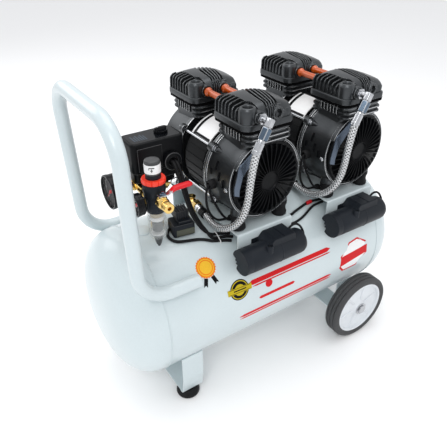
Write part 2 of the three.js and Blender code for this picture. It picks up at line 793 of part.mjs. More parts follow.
// The needle at zero, 135 degrees before the top of the dial.
function needle(name, { radius, face, y = 0, z }) {
  const hub = bar("x", 3, face + 4, face + 7, 0, 0, 10);
  const hand = box(face + 5, face + 6, -1, 1, -6, radius - 8);
  const geometry = carve([hub, hand]).rotateX(THREE.MathUtils.degToRad(-135));
  return part(name, geometry.translate(0, y, z), red());
}

function ballValve() {
  const { x, y, radius } = REGULATOR;
  const back = y - radius - GAP;
  const z = 480;
  const body = turned("y", [
    [0, back],
    [9, back],
    [11, back - 8],
    [12, back - 14],
    [11, back - 22],
    [8, back - 24],
    [8, back - 33],
    [0, back - 33],
  ], 12).translate(x, 0, z);
  const stem = bar("z", 4, z, z + 14, x, back - 12, 10);
  const bore = bar("y", 4, back - 45, back - 18, x, z, 8);
  const pivot = new THREE.Vector3(x, back - 12, z + 14 + GAP);
  return [part("ball_valve", carve([body, stem], [bore]), brass()), ballValveLever(pivot)];
}

function ballValveLever(pivot) {
  const hub = bar("z", 8, 0, 4, 0, 0, 12);
  const rise = box(3, 18, -5, 5, 0, 4);
  const shape = new THREE.Shape();
  const outline = [[12, 0], [20, 8], [54, 8], [54, 12], [18, 12], [10, 4], [3, 4], [3, 0]];
  outline.forEach(([u, v], i) => (i ? shape.lineTo(u, v) : shape.moveTo(u, v)));
  const blade = new THREE.ExtrudeGeometry(shape, { depth: 12, bevelEnabled: false });
  blade.rotateX(Math.PI / 2).translate(0, 6, 0);
  const geometry = carve([hub, rise, blade]).translate(pivot.x, pivot.y, pivot.z);
  return part("ball_valve_lever", geometry, red());
}

function unloaderValve() {
  const joined = [
    bar("z", 6, tankZ(31, 1) + GAP, 372, -179, -37, 10),
    box(-201, -158, -56, -18, 368, 388),
    box(-186, -162, -38, -10, 387, 409),
  ];
  return part("unloader_valve", carve(joined), blackPlastic());
}

function safetyValve() {
  const start = MANIFOLD_ARM.right + GAP;
  const z = MANIFOLD_ARM.reliefZ;
  const body = turned("x", [
    [0, start],
    [7, start],
    [8, start + 3],
    [8, start + 9],
    [5.5, start + 10],
    [5.5, start + 13],
    [2.5, start + 14],
    [2.5, start + 18],
    [0, start + 18],
  ], 10).translate(0, 0, z);
  const ringX = start + 18 + GAP;
  const ring = new THREE.TorusGeometry(8, 1.3, 6, 14).rotateX(Math.PI / 2);
  ring.translate(ringX + 9.3, 0, z);
  return [
    part("safety_valve", carve([body]), brass()),
    part("safety_valve_ring", carve([ring]), steel()),
  ];
}

function drainCock() {
  const bottom = tankZ(0, -1);
  const screw = bar("z", 5.4, bottom - 14, bottom + 4, DRAIN_X, 0, 12);
  const head = bar("z", 9, bottom - 17, bottom - 8, DRAIN_X, 0, 6);
  const wings = box(DRAIN_X - 15, DRAIN_X + 15, -2, 2, bottom - 27, bottom - 14);
  return part("drain_cock", carve([screw, head, wings]), brass());
}

// ---- Assembly --------------------------------------------------------------------------------

const compressor = new THREE.Group();
compressor.add(tank(), carryHandle(), footBracket(), wheelBracket());
UNIT_X.forEach((x, i) => compressor.add(platform(`platform_${UNIT_NAMES[i]}`, x)));
compressor.add(rubberFoot("rubber_foot_front", -FOOT.y), rubberFoot("rubber_foot_rear", FOOT.y));
compressor.add(wheel(-1), wheel(1));
compressor.add(compressorUnit(0), compressorUnit(1));
compressor.add(manifoldBlock(), pressureSwitch(), switchKnob());
compressor.add(...regulator(), ...ballValve(), unloaderValve(), ...safetyValve(), drainCock());
compressor.add(gauge("tank_gauge", TANK_GAUGE, 7, MANIFOLD_ARM.left - GAP));
compressor.add(needle("tank_gauge_needle", TANK_GAUGE));
const stubTip = REGULATOR.x - REGULATOR.radius - GAP;
compressor.add(gauge("regulator_gauge", SMALL_GAUGE, 5, stubTip));
compressor.add(needle("regulator_gauge_needle", SMALL_GAUGE));

export default compressor;
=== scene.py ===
"""Looks of the twin-motor tank air compressor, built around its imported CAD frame.

Sizes are written in millimetres in the frame's axes and turned into metres when a piece is made.
The tank lies along X, the front is -Y, and the handle is at -X.
"""
from math import asin, copysign, cos, hypot, pi, radians, sin, sqrt, tan

import bmesh
import bpy
from mathutils import Matrix, Vector


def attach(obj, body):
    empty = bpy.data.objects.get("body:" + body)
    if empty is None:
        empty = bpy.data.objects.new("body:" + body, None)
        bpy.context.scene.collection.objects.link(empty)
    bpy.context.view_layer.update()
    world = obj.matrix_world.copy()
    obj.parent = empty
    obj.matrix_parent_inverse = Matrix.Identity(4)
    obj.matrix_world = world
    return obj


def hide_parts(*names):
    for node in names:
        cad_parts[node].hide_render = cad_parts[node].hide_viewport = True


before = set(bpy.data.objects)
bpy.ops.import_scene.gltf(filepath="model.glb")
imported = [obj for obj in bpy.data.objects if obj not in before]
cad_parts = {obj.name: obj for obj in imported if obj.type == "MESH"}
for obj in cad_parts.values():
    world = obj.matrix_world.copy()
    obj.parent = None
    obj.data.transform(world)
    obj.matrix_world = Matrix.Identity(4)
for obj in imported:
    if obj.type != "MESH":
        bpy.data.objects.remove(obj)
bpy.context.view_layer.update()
MM = 0.001
TAU = 2 * pi

# Where the main parts stand, in mm
UNITS = {"left": -37.5, "right": 190.0}
ENDS = {"front": -1, "rear": 1}
SHAFT_Z = 469.5
TANK_R, TANK_Z, TANK_HALF, DOME = 153.0, 214.4, 269.7, 85.2  # half of its straight part, a dome's depth
AXLE_X, AXLE_Z, WHEEL_Y = 209.7, 81.4, 170.5
PAD_X, PAD_Y = -219, 106  # rubber feet
UNIT_Y = 8.5  # middle of both motor units
HEAD_X, HEAD_Y = -3.5, 83.0  # heads, from their unit's middle
PORTS, PORT_Z = (-27, 11), 594.5  # the heads' two ports
FOOT_X, FOOT_Y = 49.6, 106.5  # motor mounts, from their unit's middle
ROD_R, ROD_ANGLES = 86.5, (38, 142, 218, 322)  # tie rods, round the shaft
RISER_X = -208.0
RX, RY = -242.0, -75.0  # filter regulator
DRAIN_X = -60

CAMERA_AT = (-539.5, -735.6, 888.4)
CAMERA_TURN = (33.359, 33.001, 0.237)  # yaw, pitch and roll in degrees
FOCAL, PICTURE = 490.82, 447  # focal length and picture width, in the same unit


# ---- Camera --------------------------------------------------------------------------------

def make_camera():
    """The photo's camera, from its place, its turn and its focal length."""
    data = bpy.data.cameras.new("camera")
    data.sensor_width = 36
    data.lens = 36 * FOCAL / PICTURE
    cam = bpy.data.objects.new("camera", data)
    yaw, pitch, roll = (radians(a) for a in CAMERA_TURN)
    forward = Vector((sin(yaw) * cos(pitch), cos(yaw) * cos(pitch), -sin(pitch)))
    level = Vector((cos(yaw), -sin(yaw), 0))
    rise = level.cross(forward)
    right = level * cos(roll) - rise * sin(roll)
    up = rise * cos(roll) + level * sin(roll)
    turn = Matrix((right, up, -forward)).transposed()
    cam.matrix_world = Matrix.Translation(Vector(CAMERA_AT) * MM) @ turn.to_4x4()
    bpy.context.collection.objects.link(cam)
    bpy.context.scene.camera = cam

make_camera()


# ---- Materials -----------------------------------------------------------------------------

def material(name, color, rough, grain, bump, vary, metal=0.0, coat=0.0, spec=0.5, alpha=1.0):
    """A shader whose colour, roughness and relief vary with fine noise in the piece's own space."""
    mat = bpy.data.materials.new(name)
    mat.use_nodes = True
    nodes, links = mat.node_tree.nodes, mat.node_tree.links
    bsdf = nodes["Principled BSDF"]
    bsdf.inputs["Metallic"].default_value = metal
    bsdf.inputs["Coat Weight"].default_value = coat
    bsdf.inputs["Coat Roughness"].default_value = 0.12
    bsdf.inputs["Specular IOR Level"].default_value = spec
    bsdf.inputs["Alpha"].default_value = alpha
    space = nodes.new("ShaderNodeTexCoord")
    fine = nodes.new("ShaderNodeTexNoise")
    fine.inputs["Scale"].default_value = grain
    fine.inputs["Detail"].default_value = 4
    broad = nodes.new("ShaderNodeTexNoise")
    broad.inputs["Scale"].default_value = 14
    broad.inputs["Detail"].default_value = 3
    for noise in (fine, broad):
        links.new(space.outputs["Object"], noise.inputs["Vector"])
    blend = nodes.new("ShaderNodeMix")
    blend.inputs["Factor"].default_value = 0.5
    links.new(fine.outputs["Fac"], blend.inputs["A"])
    links.new(broad.outputs["Fac"], blend.inputs["B"])
    ramp = nodes.new("ShaderNodeValToRGB")
    low, high = ramp.color_ramp.elements
    low.position, high.position = 0.35, 0.65
    low.color = (*[c * (1 - vary) for c in color], 1)
    high.color = (*[min(1, c * (1 + vary)) for c in color], 1)
    links.new(blend.outputs["Result"], ramp.inputs["Fac"])
    links.new(ramp.outputs["Color"], bsdf.inputs["Base Color"])
    spread = nodes.new("ShaderNodeMapRange")
    spread.inputs["To Min"].default_value = max(0.02, rough * 0.82)
    spread.inputs["To Max"].default_value = min(1, rough * 1.22)
    links.new(blend.outputs["Result"], spread.inputs["Value"])
    links.new(spread.outputs["Result"], bsdf.inputs["Roughness"])
    relief = nodes.new("ShaderNodeBump")
    relief.inputs["Strength"].default_value = bump
    relief.inputs["Distance"].default_value = 0.00005 if metal > 0.8 else 0.0004
    links.new(fine.outputs["Fac"], relief.inputs["Height"])
    links.new(relief.outputs["Normal"], bsdf.inputs["Normal"])
    return mat


def braid(name, color, pitch, sides):
    """Woven wire: two sets of wires that wind opposite ways round a tube whose UV is in turns. The colour
    darkens in the hollows between the wires: painted shade.
    """
    mat = material(name, color, 0.24, 900, 0.05, 0.12, metal=0.85)
    nodes, links = mat.node_tree.nodes, mat.node_tree.links
    bsdf = nodes["Principled BSDF"]
    split = nodes.new("ShaderNodeSeparateXYZ")
    links.new(nodes.new("ShaderNodeUVMap").outputs["UV"], split.inputs["Vector"])

    def math_node(kind, a, b=0.0):
        node = nodes.new("ShaderNodeMath")
        node.operation = kind
        for socket, value in zip(node.inputs, (a, b)):
            if isinstance(value, (int, float)):
                socket.default_value = value
            else:
                links.new(value, socket)
        return node.outputs[0]

    around = math_node("MULTIPLY", split.outputs["X"], sides)
    along = math_node("MULTIPLY", split.outputs["Y"], 1 / pitch)
    waves = [math_node("SINE", math_node("MULTIPLY", math_node(op, around, along), TAU))
             for op in ("ADD", "SUBTRACT")]
    weave = math_node("MAXIMUM", *waves)
    relief = nodes.new("ShaderNodeBump")
    relief.inputs["Strength"].default_value = 0.8
    relief.inputs["Distance"].default_value = 0.0006
    links.new(weave, relief.inputs["Height"])
    links.new(relief.outputs["Normal"], bsdf.inputs["Normal"])
    # Painted shade: the colour falls to 0.16 of the wire colour in the hollows of the weave.
    ramp = nodes.new("ShaderNodeValToRGB")
    ramp.color_ramp.elements[0].position = 0.36
    ramp.color_ramp.elements[0].color = (*[c * 0.16 for c in color], 1)
    ramp.color_ramp.elements[1].position = 0.78
    ramp.color_ramp.elements[1].color = (*color, 1)
    links.new(math_node("MULTIPLY_ADD", weave, 0.5), ramp.inputs["Fac"])
    links.new(ramp.outputs["Color"], bsdf.inputs["Base Color"])
    return mat


M = {
    "white": material("white_enamel", (0.56, 0.635, 0.655), 0.3, 260, 0.05, 0.02, coat=0.35),
    "cast": material("dark_casting", (0.06, 0.064, 0.068), 0.33, 1500, 0.9, 0.2, metal=0.85),
    "black": material("black_plastic", (0.003, 0.0034, 0.0042), 0.34, 1800, 0.12, 0.25, spec=0.11),
    "slate": material("slate_plastic", (0.012, 0.015, 0.02), 0.42, 1500, 0.25, 0.2, spec=0.16),
    "gloss": material("gloss_black", (0.004, 0.0045, 0.006), 0.16, 300, 0.04, 0.2, coat=0.05, spec=0.14),
    "rubber": material("black_rubber", (0.006, 0.006, 0.007), 0.6, 900, 0.3, 0.25, spec=0.18),
    "gasket": material("head_gasket", (0.0015, 0.0015, 0.0018), 0.8, 900, 0.3, 0.25, spec=0.04),
    "tyre": material("tyre_rubber", (0.045, 0.046, 0.048), 0.68, 700, 0.35, 0.2),
    "rim": material("white_rim", (0.68, 0.71, 0.74), 0.36, 300, 0.08, 0.03),
    "steel": material("bright_steel", (0.5, 0.51, 0.53), 0.2, 700, 0.06, 0.08, metal=1.0),
    "zinc": material("blue_zinc", (0.11, 0.15, 0.2), 0.16, 500, 0.05, 0.15, metal=1.0),
    "brass": material("brass", (0.83, 0.58, 0.2), 0.22, 600, 0.06, 0.1, metal=1.0),
    "orange": material("orange_tube", (0.46, 0.07, 0.004), 0.26, 300, 0.04, 0.12, metal=0.1, coat=0.4),
    "red": material("red_plastic", (0.6, 0.008, 0.014), 0.34, 600, 0.08, 0.08, spec=0.3),
    "knob": material("grey_knob", (0.04, 0.041, 0.043), 0.38, 900, 0.12, 0.15),
    "label": material("white_label", (0.82, 0.82, 0.82), 0.4, 900, 0.03, 0.02),
    "ink": material("black_ink", (0.004, 0.004, 0.005), 0.5, 900, 0.03, 0.1, spec=0.1),
    "stripe": material("red_vinyl", (0.58, 0.006, 0.01), 0.4, 500, 0.02, 0.05, spec=0.15),
    "gold": material("gold_vinyl", (0.78, 0.2, 0.008), 0.4, 500, 0.03, 0.1, spec=0.15),
    "yellow": material("yellow_vinyl", (0.48, 0.37, 0.01), 0.4, 500, 0.03, 0.08, spec=0.15),
    "pale": material("pale_gold_vinyl", (0.8, 0.46, 0.03), 0.4, 500, 0.03, 0.08, spec=0.15),
    "clear": material("clear_bowl", (0.5, 0.53, 0.53), 0.05, 200, 0.02, 0.02, alpha=0.2),
    "lens": material("dial_lens", (0.3, 0.3, 0.3), 0.1, 200, 0.02, 0.02, spec=0.1, alpha=0.06),
    # painted highlight: a lighter, glossier casting colour laid on bevelled edges in place of their
    # reflections
    "edge": material("cast_edge_painted_highlight", (0.55, 0.56, 0.57), 0.24, 1200, 0.2, 0.15, metal=0.9),
    "olive": material("olive_plate", (0.05, 0.055, 0.035), 0.4, 900, 0.1, 0.3),
    "red_ring": material("red_ring", (0.85, 0.045, 0.02), 0.3, 600, 0.06, 0.06),
    "dial": material("black_dial", (0.01, 0.01, 0.012), 0.5, 900, 0.03, 0.15, spec=0.3),
    "filter": material("filter_element", (0.6, 0.5, 0.34), 0.6, 900, 0.3, 0.12),
    "stack": material("motor_laminations", (0.003, 0.0035, 0.004), 0.5, 900, 0.3, 0.3, spec=0.12),
    "shaft": material("turned_steel", (0.5, 0.5, 0.52), 0.28, 900, 0.05, 0.1, metal=1.0),
    "piston": material("piston_aluminium", (0.6, 0.6, 0.61), 0.35, 800, 0.1, 0.1, metal=1.0),
    "plate": material("blued_plate", (0.1, 0.125, 0.165), 0.26, 900, 0.08, 0.12, metal=0.8),
    "braid": braid("steel_braid", (0.62, 0.63, 0.64), 5.8, 5),
}


# ---- Geometry ------------------------------------------------------------------------------

def polar(r, degrees, cx=0.0, cy=0.0):
    """The point at a radius and an angle about a centre."""
    a = radians(degrees)
    return cx + r * cos(a), cy + r * sin(a)


def lathe(profile, n=48, axis="z", at=(0, 0, 0), ring=False):
    """A turned body. Each profile point is (radius, place along the axis)."""
    verts, rings = [], []
    for r, h in profile:
        count = 1 if r < 1e-6 else n
        rings.append(range(len(verts), len(verts) + count))
        for k in range(count):
            a = TAU * k / n
            u, v = r * cos(a), r * sin(a)
            p = {"x": (h, u, v), "y": (u, h, v), "z": (u, v, h)}[axis]
            verts.append(tuple(c + o for c, o in zip(p, at)))
    faces = []
    for a, b in zip(rings, list(rings[1:]) + ([rings[0]] if ring else [])):
        for k in range(n):
            j = (k + 1) % n
            quad = [a[k % len(a)], b[k % len(b)], b[j % len(b)], a[j % len(a)]]
            corners = list(dict.fromkeys(quad))
            if len(corners) > 2:
                faces.append(corners)
    return verts, faces


def bar(axis, r, a, b, u, v, n=24, cham=0.0):
    """A round or many-sided bar from a to b along an axis, with chamfered ends."""
    rim = [(r - cham, a), (r, a + cham), (r, b - cham), (r - cham, b)] if cham else [(r, a), (r, b)]
    profile = [(0, a), *rim, (0, b)]
    at = {"x": (0, u, v), "y": (u, 0, v), "z": (u, v, 0)}[axis]
    return lathe(profile, n, axis, at)


def side_bar(s, r, near, far, u, v, n=28, cham=0.0, y=0.0):
    """A bar along Y, from near to far on side s of the plane at y."""
    a, b = sorted((y + s * near, y + s * far))
    return bar("y", r, a, b, u, v, n, cham)


def loft(rings):
    """A closed body through rings of points, each with the same count."""
    n = len(rings[0])
    verts = [p for ring in rings for p in ring]
    faces = [list(range(n)), [len(verts) - n + k for k in range(n)]]
    for i in range(len(rings) - 1):
        for k in range(n):
            j = (k + 1) % n
            faces.append([i * n + k, i * n + j, (i + 1) * n + j, (i + 1) * n + k])
    return verts, faces


def rrect(w, d, r, n=5, cx=0.0):
    """The outline of a rounded rectangle."""
    points = []
    for sx, sy, a0 in ((1, 1, 0), (-1, 1, 1), (-1, -1, 2), (1, -1, 3)):
        for k in range(n + 1):
            a = (a0 + k / n) * pi / 2
            points.append((cx + sx * (w / 2 - r) + r * cos(a), sy * (d / 2 - r) + r * sin(a)))
    return points


def tower(levels, cx=0.0, cy=0.0, n=6):
    """A body through rounded rectangles. Each level is (height, width, depth, corner radius)."""
    return loft([[(cx + x, cy + y, z) for x, y in rrect(w, d, r, n)] for z, w, d, r in levels])


def prism(outline, a, b, axis="z"):
    """An outline in the other two axes, in X, Y, Z order, pushed from a to b."""
    place = {"x": lambda p, h: (h, *p), "y": lambda p, h: (p[0], h, p[1]), "z": lambda p, h: (*p, h)}[axis]
    return loft([[place(p, h) for p in outline] for h in (a, b)])


def box(x0, x1, y0, y1, z0, z1):
    return prism([(x0, y0), (x1, y0), (x1, y1), (x0, y1)], z0, z1)


def wall(stations, thick):
    """A thin upright wall. Each station is (x, y, lowest z, highest z)."""
    rings = []
    for i, (x, y, z0, z1) in enumerate(stations):
        before, after = stations[max(0, i - 1)], stations[min(len(stations) - 1, i + 1)]
        way = Vector((after[0] - before[0], after[1] - before[1]))
        way = way.normalized() if way.length > 1e-6 else Vector((0, -1))
        side = Vector((-way.y, way.x)) * thick / 2
        t = min(0.8, thick / 3)
        inner = side * 0.5
        rings.append([(x + side.x, y + side.y, z0), (x + side.x, y + side.y, z1 - t),
                      (x + inner.x, y + inner.y, z1), (x - inner.x, y - inner.y, z1),
                      (x - side.x, y - side.y, z1 - t), (x - side.x, y - side.y, z0)])
    return loft(rings)


def smooth_path(points, step=4.0):
    """Points a step apart on a smooth curve through the given ones."""
    pts = [Vector(p) for p in points]
    pts = [pts[0] * 2 - pts[1], *pts, pts[-1] * 2 - pts[-2]]
    out = []
    for p0, p1, p2, p3 in zip(pts, pts[1:], pts[2:], pts[3:]):
        m1 = (p2 - p0) * ((p2 - p1).length / max(1e-6, (p2 - p0).length))
        m2 = (p3 - p1) * ((p2 - p1).length / max(1e-6, (p3 - p1).length))
        count = max(1, round((p2 - p1).length / step))
        for k in range(count):
            t = k / count
            out.append(p1 * (2 * t**3 - 3 * t**2 + 1) + m1 * (t**3 - 2 * t**2 + t)
                       + p2 * (3 * t**2 - 2 * t**3) + m2 * (t**3 - t**2))
    return out + [pts[-2]]


def rounded_run(corners, radius, steps=8):
    """Straight runs whose corners are rounded with arcs."""
    pts = [Vector(c) for c in corners]
    out = [pts[0]]
    for a, b, c in zip(pts, pts[1:], pts[2:]):
        u, w = (a - b).normalized(), (c - b).normalized()
        back = radius / tan(u.angle(w) / 2)
        start, stop = b + u * back, b + w * back
        middle = b + (u + w).normalized() * hypot(back, radius)
        p, q = start - middle, stop - middle
        for k in range(steps + 1):
            turn = Matrix.Rotation(p.angle(q) * k / steps, 3, p.cross(q))
            out.append(turn @ p + middle)
    return out + [pts[-1]]


def sweep(points, radius, n=16, closed=False):
    """A round tube along points; radius is a number or one for each point. It makes no UV itself; piece()
    gives a tube one in turns and mm.
    """
    pts = [Vector(p) for p in points]
    count = len(pts)
    radii = radius if isinstance(radius, (list, tuple)) else [radius] * count
    ways = []
    for i in range(count):
        a = pts[(i - 1) % count] if closed or i else pts[0]
        b = pts[(i + 1) % count] if closed or i < count - 1 else pts[-1]
        ways.append((b - a).normalized())
    side = ways[0].orthogonal().normalized()
    rings = []
    for p, way, r in zip(pts, ways, radii):
        side = (side - way * side.dot(way)).normalized()
        up = way.cross(side)
        rings.append([p + side * (r * cos(TAU * k / n)) + up * (r * sin(TAU * k / n)) for k in range(n)])
    if not closed:
        return loft(rings)
    verts = [p for ring in rings for p in ring]
    faces = [[i * n + k, i * n + (k + 1) % n, (i + 1) % count * n + (k + 1) % n, (i + 1) % count * n + k]
             for i in range(count) for k in range(n)]
    return verts, faces


def moved(shape, by=(0, 0, 0), turn=None, about=(0, 0, 0)):
    """A copy of a shape, turned about a point and then shifted."""
    about, by = Vector(about), Vector(by)
    turn = turn or Matrix.Identity(3)
    return [turn @ (Vector(p) - about) + about + by for p in shape[0]], shape[1]


def at(shapes, x, y=0.0, z=0.0):
    """Copies of several shapes, all shifted alike."""
    return [moved(s, (x, y, z)) for s in shapes]


def half_turn(shape):
    """A shape turned half round about the Z axis."""
    return [(-p[0], -p[1], p[2]) for p in shape[0]], shape[1]


def piece(name, shapes, mat, body="frame", cad=(), bevel=0.0, angle=38, tube=None, edge=None):
    """One piece from closed shapes in millimetres. It rides on a body and stands for CAD nodes."""
    bm = bmesh.new()
    for verts, faces in shapes:
        made = [bm.verts.new(Vector(p) * MM) for p in verts]
        for f in faces:
            bm.faces.new([made[i] for i in f])
    if bevel:
        bmesh.ops.remove_doubles(bm, verts=bm.verts, dist=1e-7)
    bmesh.ops.recalc_face_normals(bm, faces=bm.faces)
    for f in bm.faces:
        f.smooth = True
    limit = radians(angle)
    for e in bm.edges:
        e.smooth = len(e.link_faces) == 2 and e.calc_face_angle(0) < limit
    mesh = bpy.data.meshes.new(name)
    bm.to_mesh(mesh)
    bm.free()
    if tube:
        rings, n = tube
        layer = mesh.uv_layers.new(name="UVMap")
        for poly in mesh.polygons:
            around = [v % n for v in poly.vertices]
            wrap = max(around) - min(around) > 1
            for loop, v in zip(poly.loop_indices, poly.vertices):
                k = v % n + (n if wrap and v % n == 0 else 0)
                layer.data[loop].uv = (k / n, rings[min(len(rings) - 1, v // n)])
    mesh.materials.append(M[mat])
    if edge:
        mesh.materials.append(M[edge])
    obj = bpy.data.objects.new(name, mesh)
    bpy.context.collection.objects.link(obj)
    if bevel:
        mod = obj.modifiers.new("edges", "BEVEL")
        mod.width = bevel * MM
        mod.segments = 2
        mod.limit_method = "ANGLE"
        mod.angle_limit = radians(40)
        mod.harden_normals = True
        # A second material, when given, covers the bevelled edges: a lighter colour that paints a highlight
        # along them.
        mod.material = 1 if edge else -1
    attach(obj, body)
    if cad:
        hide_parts(*([cad] if isinstance(cad, str) else cad))
    return obj


def cable(name, points, diameter, mat="rubber", cad=(), step=4.0, n=12):
    """A hose or cable with both ends in the object."""
    path = smooth_path(points, step)
    rings = [0.0]
    for a, b in zip(path, path[1:]):
        rings.append(rings[-1] + (b - a).length)
    obj = piece(name, [sweep(path, diameter / 2, n)], mat, cad=cad, angle=60, tube=(rings, n))
    return obj


# ---- Braided hoses -------------------------------------------------------------------------

ELBOW = Vector((PORTS[0], -150, PORT_Z))
LEAN = radians(28)
DOWN = Vector((-sin(LEAN), 0, -cos(LEAN)))
VALVE_AT, VALVE_TIP = Vector((-76.5, 30, 380)), Vector((-84, -37.5, 380))
AWAY = (VALVE_TIP - VALVE_AT).normalized()
HOSE_ROUTE = [
    ELBOW + DOWN * 40.3, ELBOW + DOWN * 45, (-52.8, -150.4, 540), (-58, -151, 520), (-62, -151, 497),
    (-65, -150.5, 470), (-68.5, -148.5, 446), (-74, -143, 424), (-80.5, -132, 406), (-86.5, -116, 393.5),
    (-89.5, -97, 385), (-89, -76, 381), (-86.8, -58, 380), VALVE_TIP + AWAY * 6, VALVE_TIP + AWAY * 0.3]

for side, ux in UNITS.items():
    cable(f"braided_hose_{side}", [Vector(p) + Vector((ux, 0, 0)) for p in HOSE_ROUTE], 13.6, "braid",
          f"air_hose_{side}", step=3.0, n=20)


# ---- Tank, handle, platforms and brackets --------------------------------------------------

def dome_profile(radius, dome):
    """The half outline of a super-elliptic dome."""
    power, steps = 2 / 2.4, 14
    return [(radius * sin(pi / 2 * i / steps) ** power, TANK_HALF + dome * cos(pi / 2 * i / steps) ** power)
            for i in range(steps + 1)]


def tank_point(x, s, angle, lift):
    """A point on the tank's side: s mm round it from an angle above the front."""
    a = radians(angle) + s / TANK_R
    r = TANK_R + lift
    return (x, -r * cos(a), TANK_Z + r * sin(a))


profile = dome_profile(TANK_R, DOME)
profile[0] = (0, profile[0][1])
shell = lathe(profile + [(r, -h) for r, h in reversed(profile)], 128, "x", (0, 0, TANK_Z))
bosses = [bar("z", 13, 53.6, 63, DRAIN_X, 0, cham=1.5), bar("z", 17, 364, 369.6, -241, 0, cham=1.5),
          bar("z", 11, 362, 368.6, -171, -31, cham=1.2)]
for ux in UNITS.values():
    bosses.append(bar("z", 14, 360, 366.8, ux - 76.5, 30, cham=1.2))
piece("tank_vessel", [shell, *bosses], "white", cad="tank", angle=50)
for side in (-1, 1):
    bead = []
    for k in range(240):
        a = TAU * k / 240
        r = TANK_R + 0.15 + 0.18 * sin(60 * a)
        bead.append((side * TANK_HALF, r * cos(a), TANK_Z + r * sin(a)))
    piece(f"girth_weld_{'left' if side < 0 else 'right'}", [sweep(bead, 1.1, 6, closed=True)], "white",
          angle=80)

corners = [(-195, -132, 315.4), (-311, -132, 315.4), (-317.6, -132, 636), (-317.6, 132, 636),
           (-311, 132, 315.4), (-195, 132, 315.4)]
run = rounded_run(corners, 62, 10)
piece("handle_tube", [sweep(run, 12.7, 28)], "white", cad="carry_handle", angle=50, bevel=0.8)
for side in (-1, 1):
    seam = [(x, side * 121.6, 304.6 + 0.5 * sin(x)) for x in range(-262, -196, 3)]
    piece(f"handle_weld_{'front' if side < 0 else 'rear'}", [sweep(seam, 2.2, 8)], "white", angle=80)


def folded(points, thick, x0, x1, bend=4.0):
    """A folded strip of sheet along X, whose outer face follows points in Y and Z."""
    outer = rounded_run([(0, *p) for p in points], bend, 4)
    inner = []
    for i, p in enumerate(outer):
        a, b = outer[max(0, i - 1)], outer[min(len(outer) - 1, i + 1)]
        way = (b - a).normalized()
        inward = Vector((0, -way.z, way.y))
        inner.append(p + inward * thick)
    outline = [(p.y, p.z) for p in outer] + [(p.y, p.z) for p in reversed(inner)]
    n = len(outer)
    verts = [(x, y, z) for x in (x0, x1) for y, z in outline]
    m = 2 * n
    faces = []
    for i in range(m):
        j = (i + 1) % m
        faces.append([i, j, m + j, m + i])
    for base in (0, m):
        for i in range(n - 1):
            faces.append([base + i, base + i + 1, base + m - 2 - i, base + m - 1 - i])
    return verts, faces


for side, ux in UNITS.items():
    sheet = folded([(138, 292.4), (138, 370.7), (-121, 370.7), (-121, 315.9)], 3, ux - 65, ux + 65)
    pads = [bar("z", 12, 370.5, 371.4, ux + sx * FOOT_X, UNIT_Y + sy * FOOT_Y, cham=0.3) for sx in (-1, 1)
            for sy in (-1, 1)]
    # The bevelled edges take the brighter white label colour, a painted highlight.
    piece(f"platform_plate_{side}", [sheet, *pads], "white", cad=f"platform_{side}", bevel=0.6, edge="label")
    welds = []
    for y, z in ((-119.6, 312.9), (136.6, 286.6)):
        for x0 in (-60, 20):
            welds.append(sweep([(ux + x0 + t, y, z + 0.4 * sin(t)) for t in range(0, 42, 3)], 2.4, 8))
    piece(f"platform_weld_{side}", welds, "white", angle=80)

feet_strip = folded([(126, 127), (126, 62), (119, 21), (-119, 21), (-126, 62), (-126, 127)], 3, -240, -192)
piece("front_strap", [feet_strip], "white", cad="foot_bracket", bevel=0.6)
wheel_strip = folded([(126, 127), (126, 42), (-126, 42), (-126, 127)], 3, 186, 234, 6)
axles, nuts = [], []
for s in (-1, 1):
    axles += [side_bar(s, 8, 125, 192, AXLE_X, AXLE_Z), side_bar(s, 14, 124, 131, AXLE_X, AXLE_Z, cham=2)]
    nuts += [side_bar(s, 11.5, 190.2, 195, AXLE_X, AXLE_Z, 6, 1.2),
             side_bar(s, 15, 189.6, 190.6, AXLE_X, AXLE_Z, cham=0.3)]
piece("rear_strap", [wheel_strip, *axles], "white", cad="wheel_bracket", bevel=0.6)
piece("axle_nuts", nuts, "steel", bevel=0.4)

for end, s in ENDS.items():
    foot = lathe([(0, 1.5), (9, 1.5), (10, 0), (21.5, 0), (24, 1.4), (25, 4.5), (24.6, 10), (23, 17.5),
                  (21.6, 20), (19, 20.7), (0, 20.7)],
                 40, "z", (PAD_X, s * PAD_Y, 0))
    piece(f"foot_pad_{end}", [foot], "rubber", cad=f"rubber_foot_{end}", angle=50)
    screw = [bar("z", 6.5, 24, 28, PAD_X, s * PAD_Y, 6, cham=0.8),
             bar("z", 9, 23.9, 25.2, PAD_X, s * PAD_Y, 28, cham=0.3)]
    piece(f"foot_screw_{end}", screw, "steel", bevel=0.3)


# ---- Wheels --------------------------------------------------------------------------------

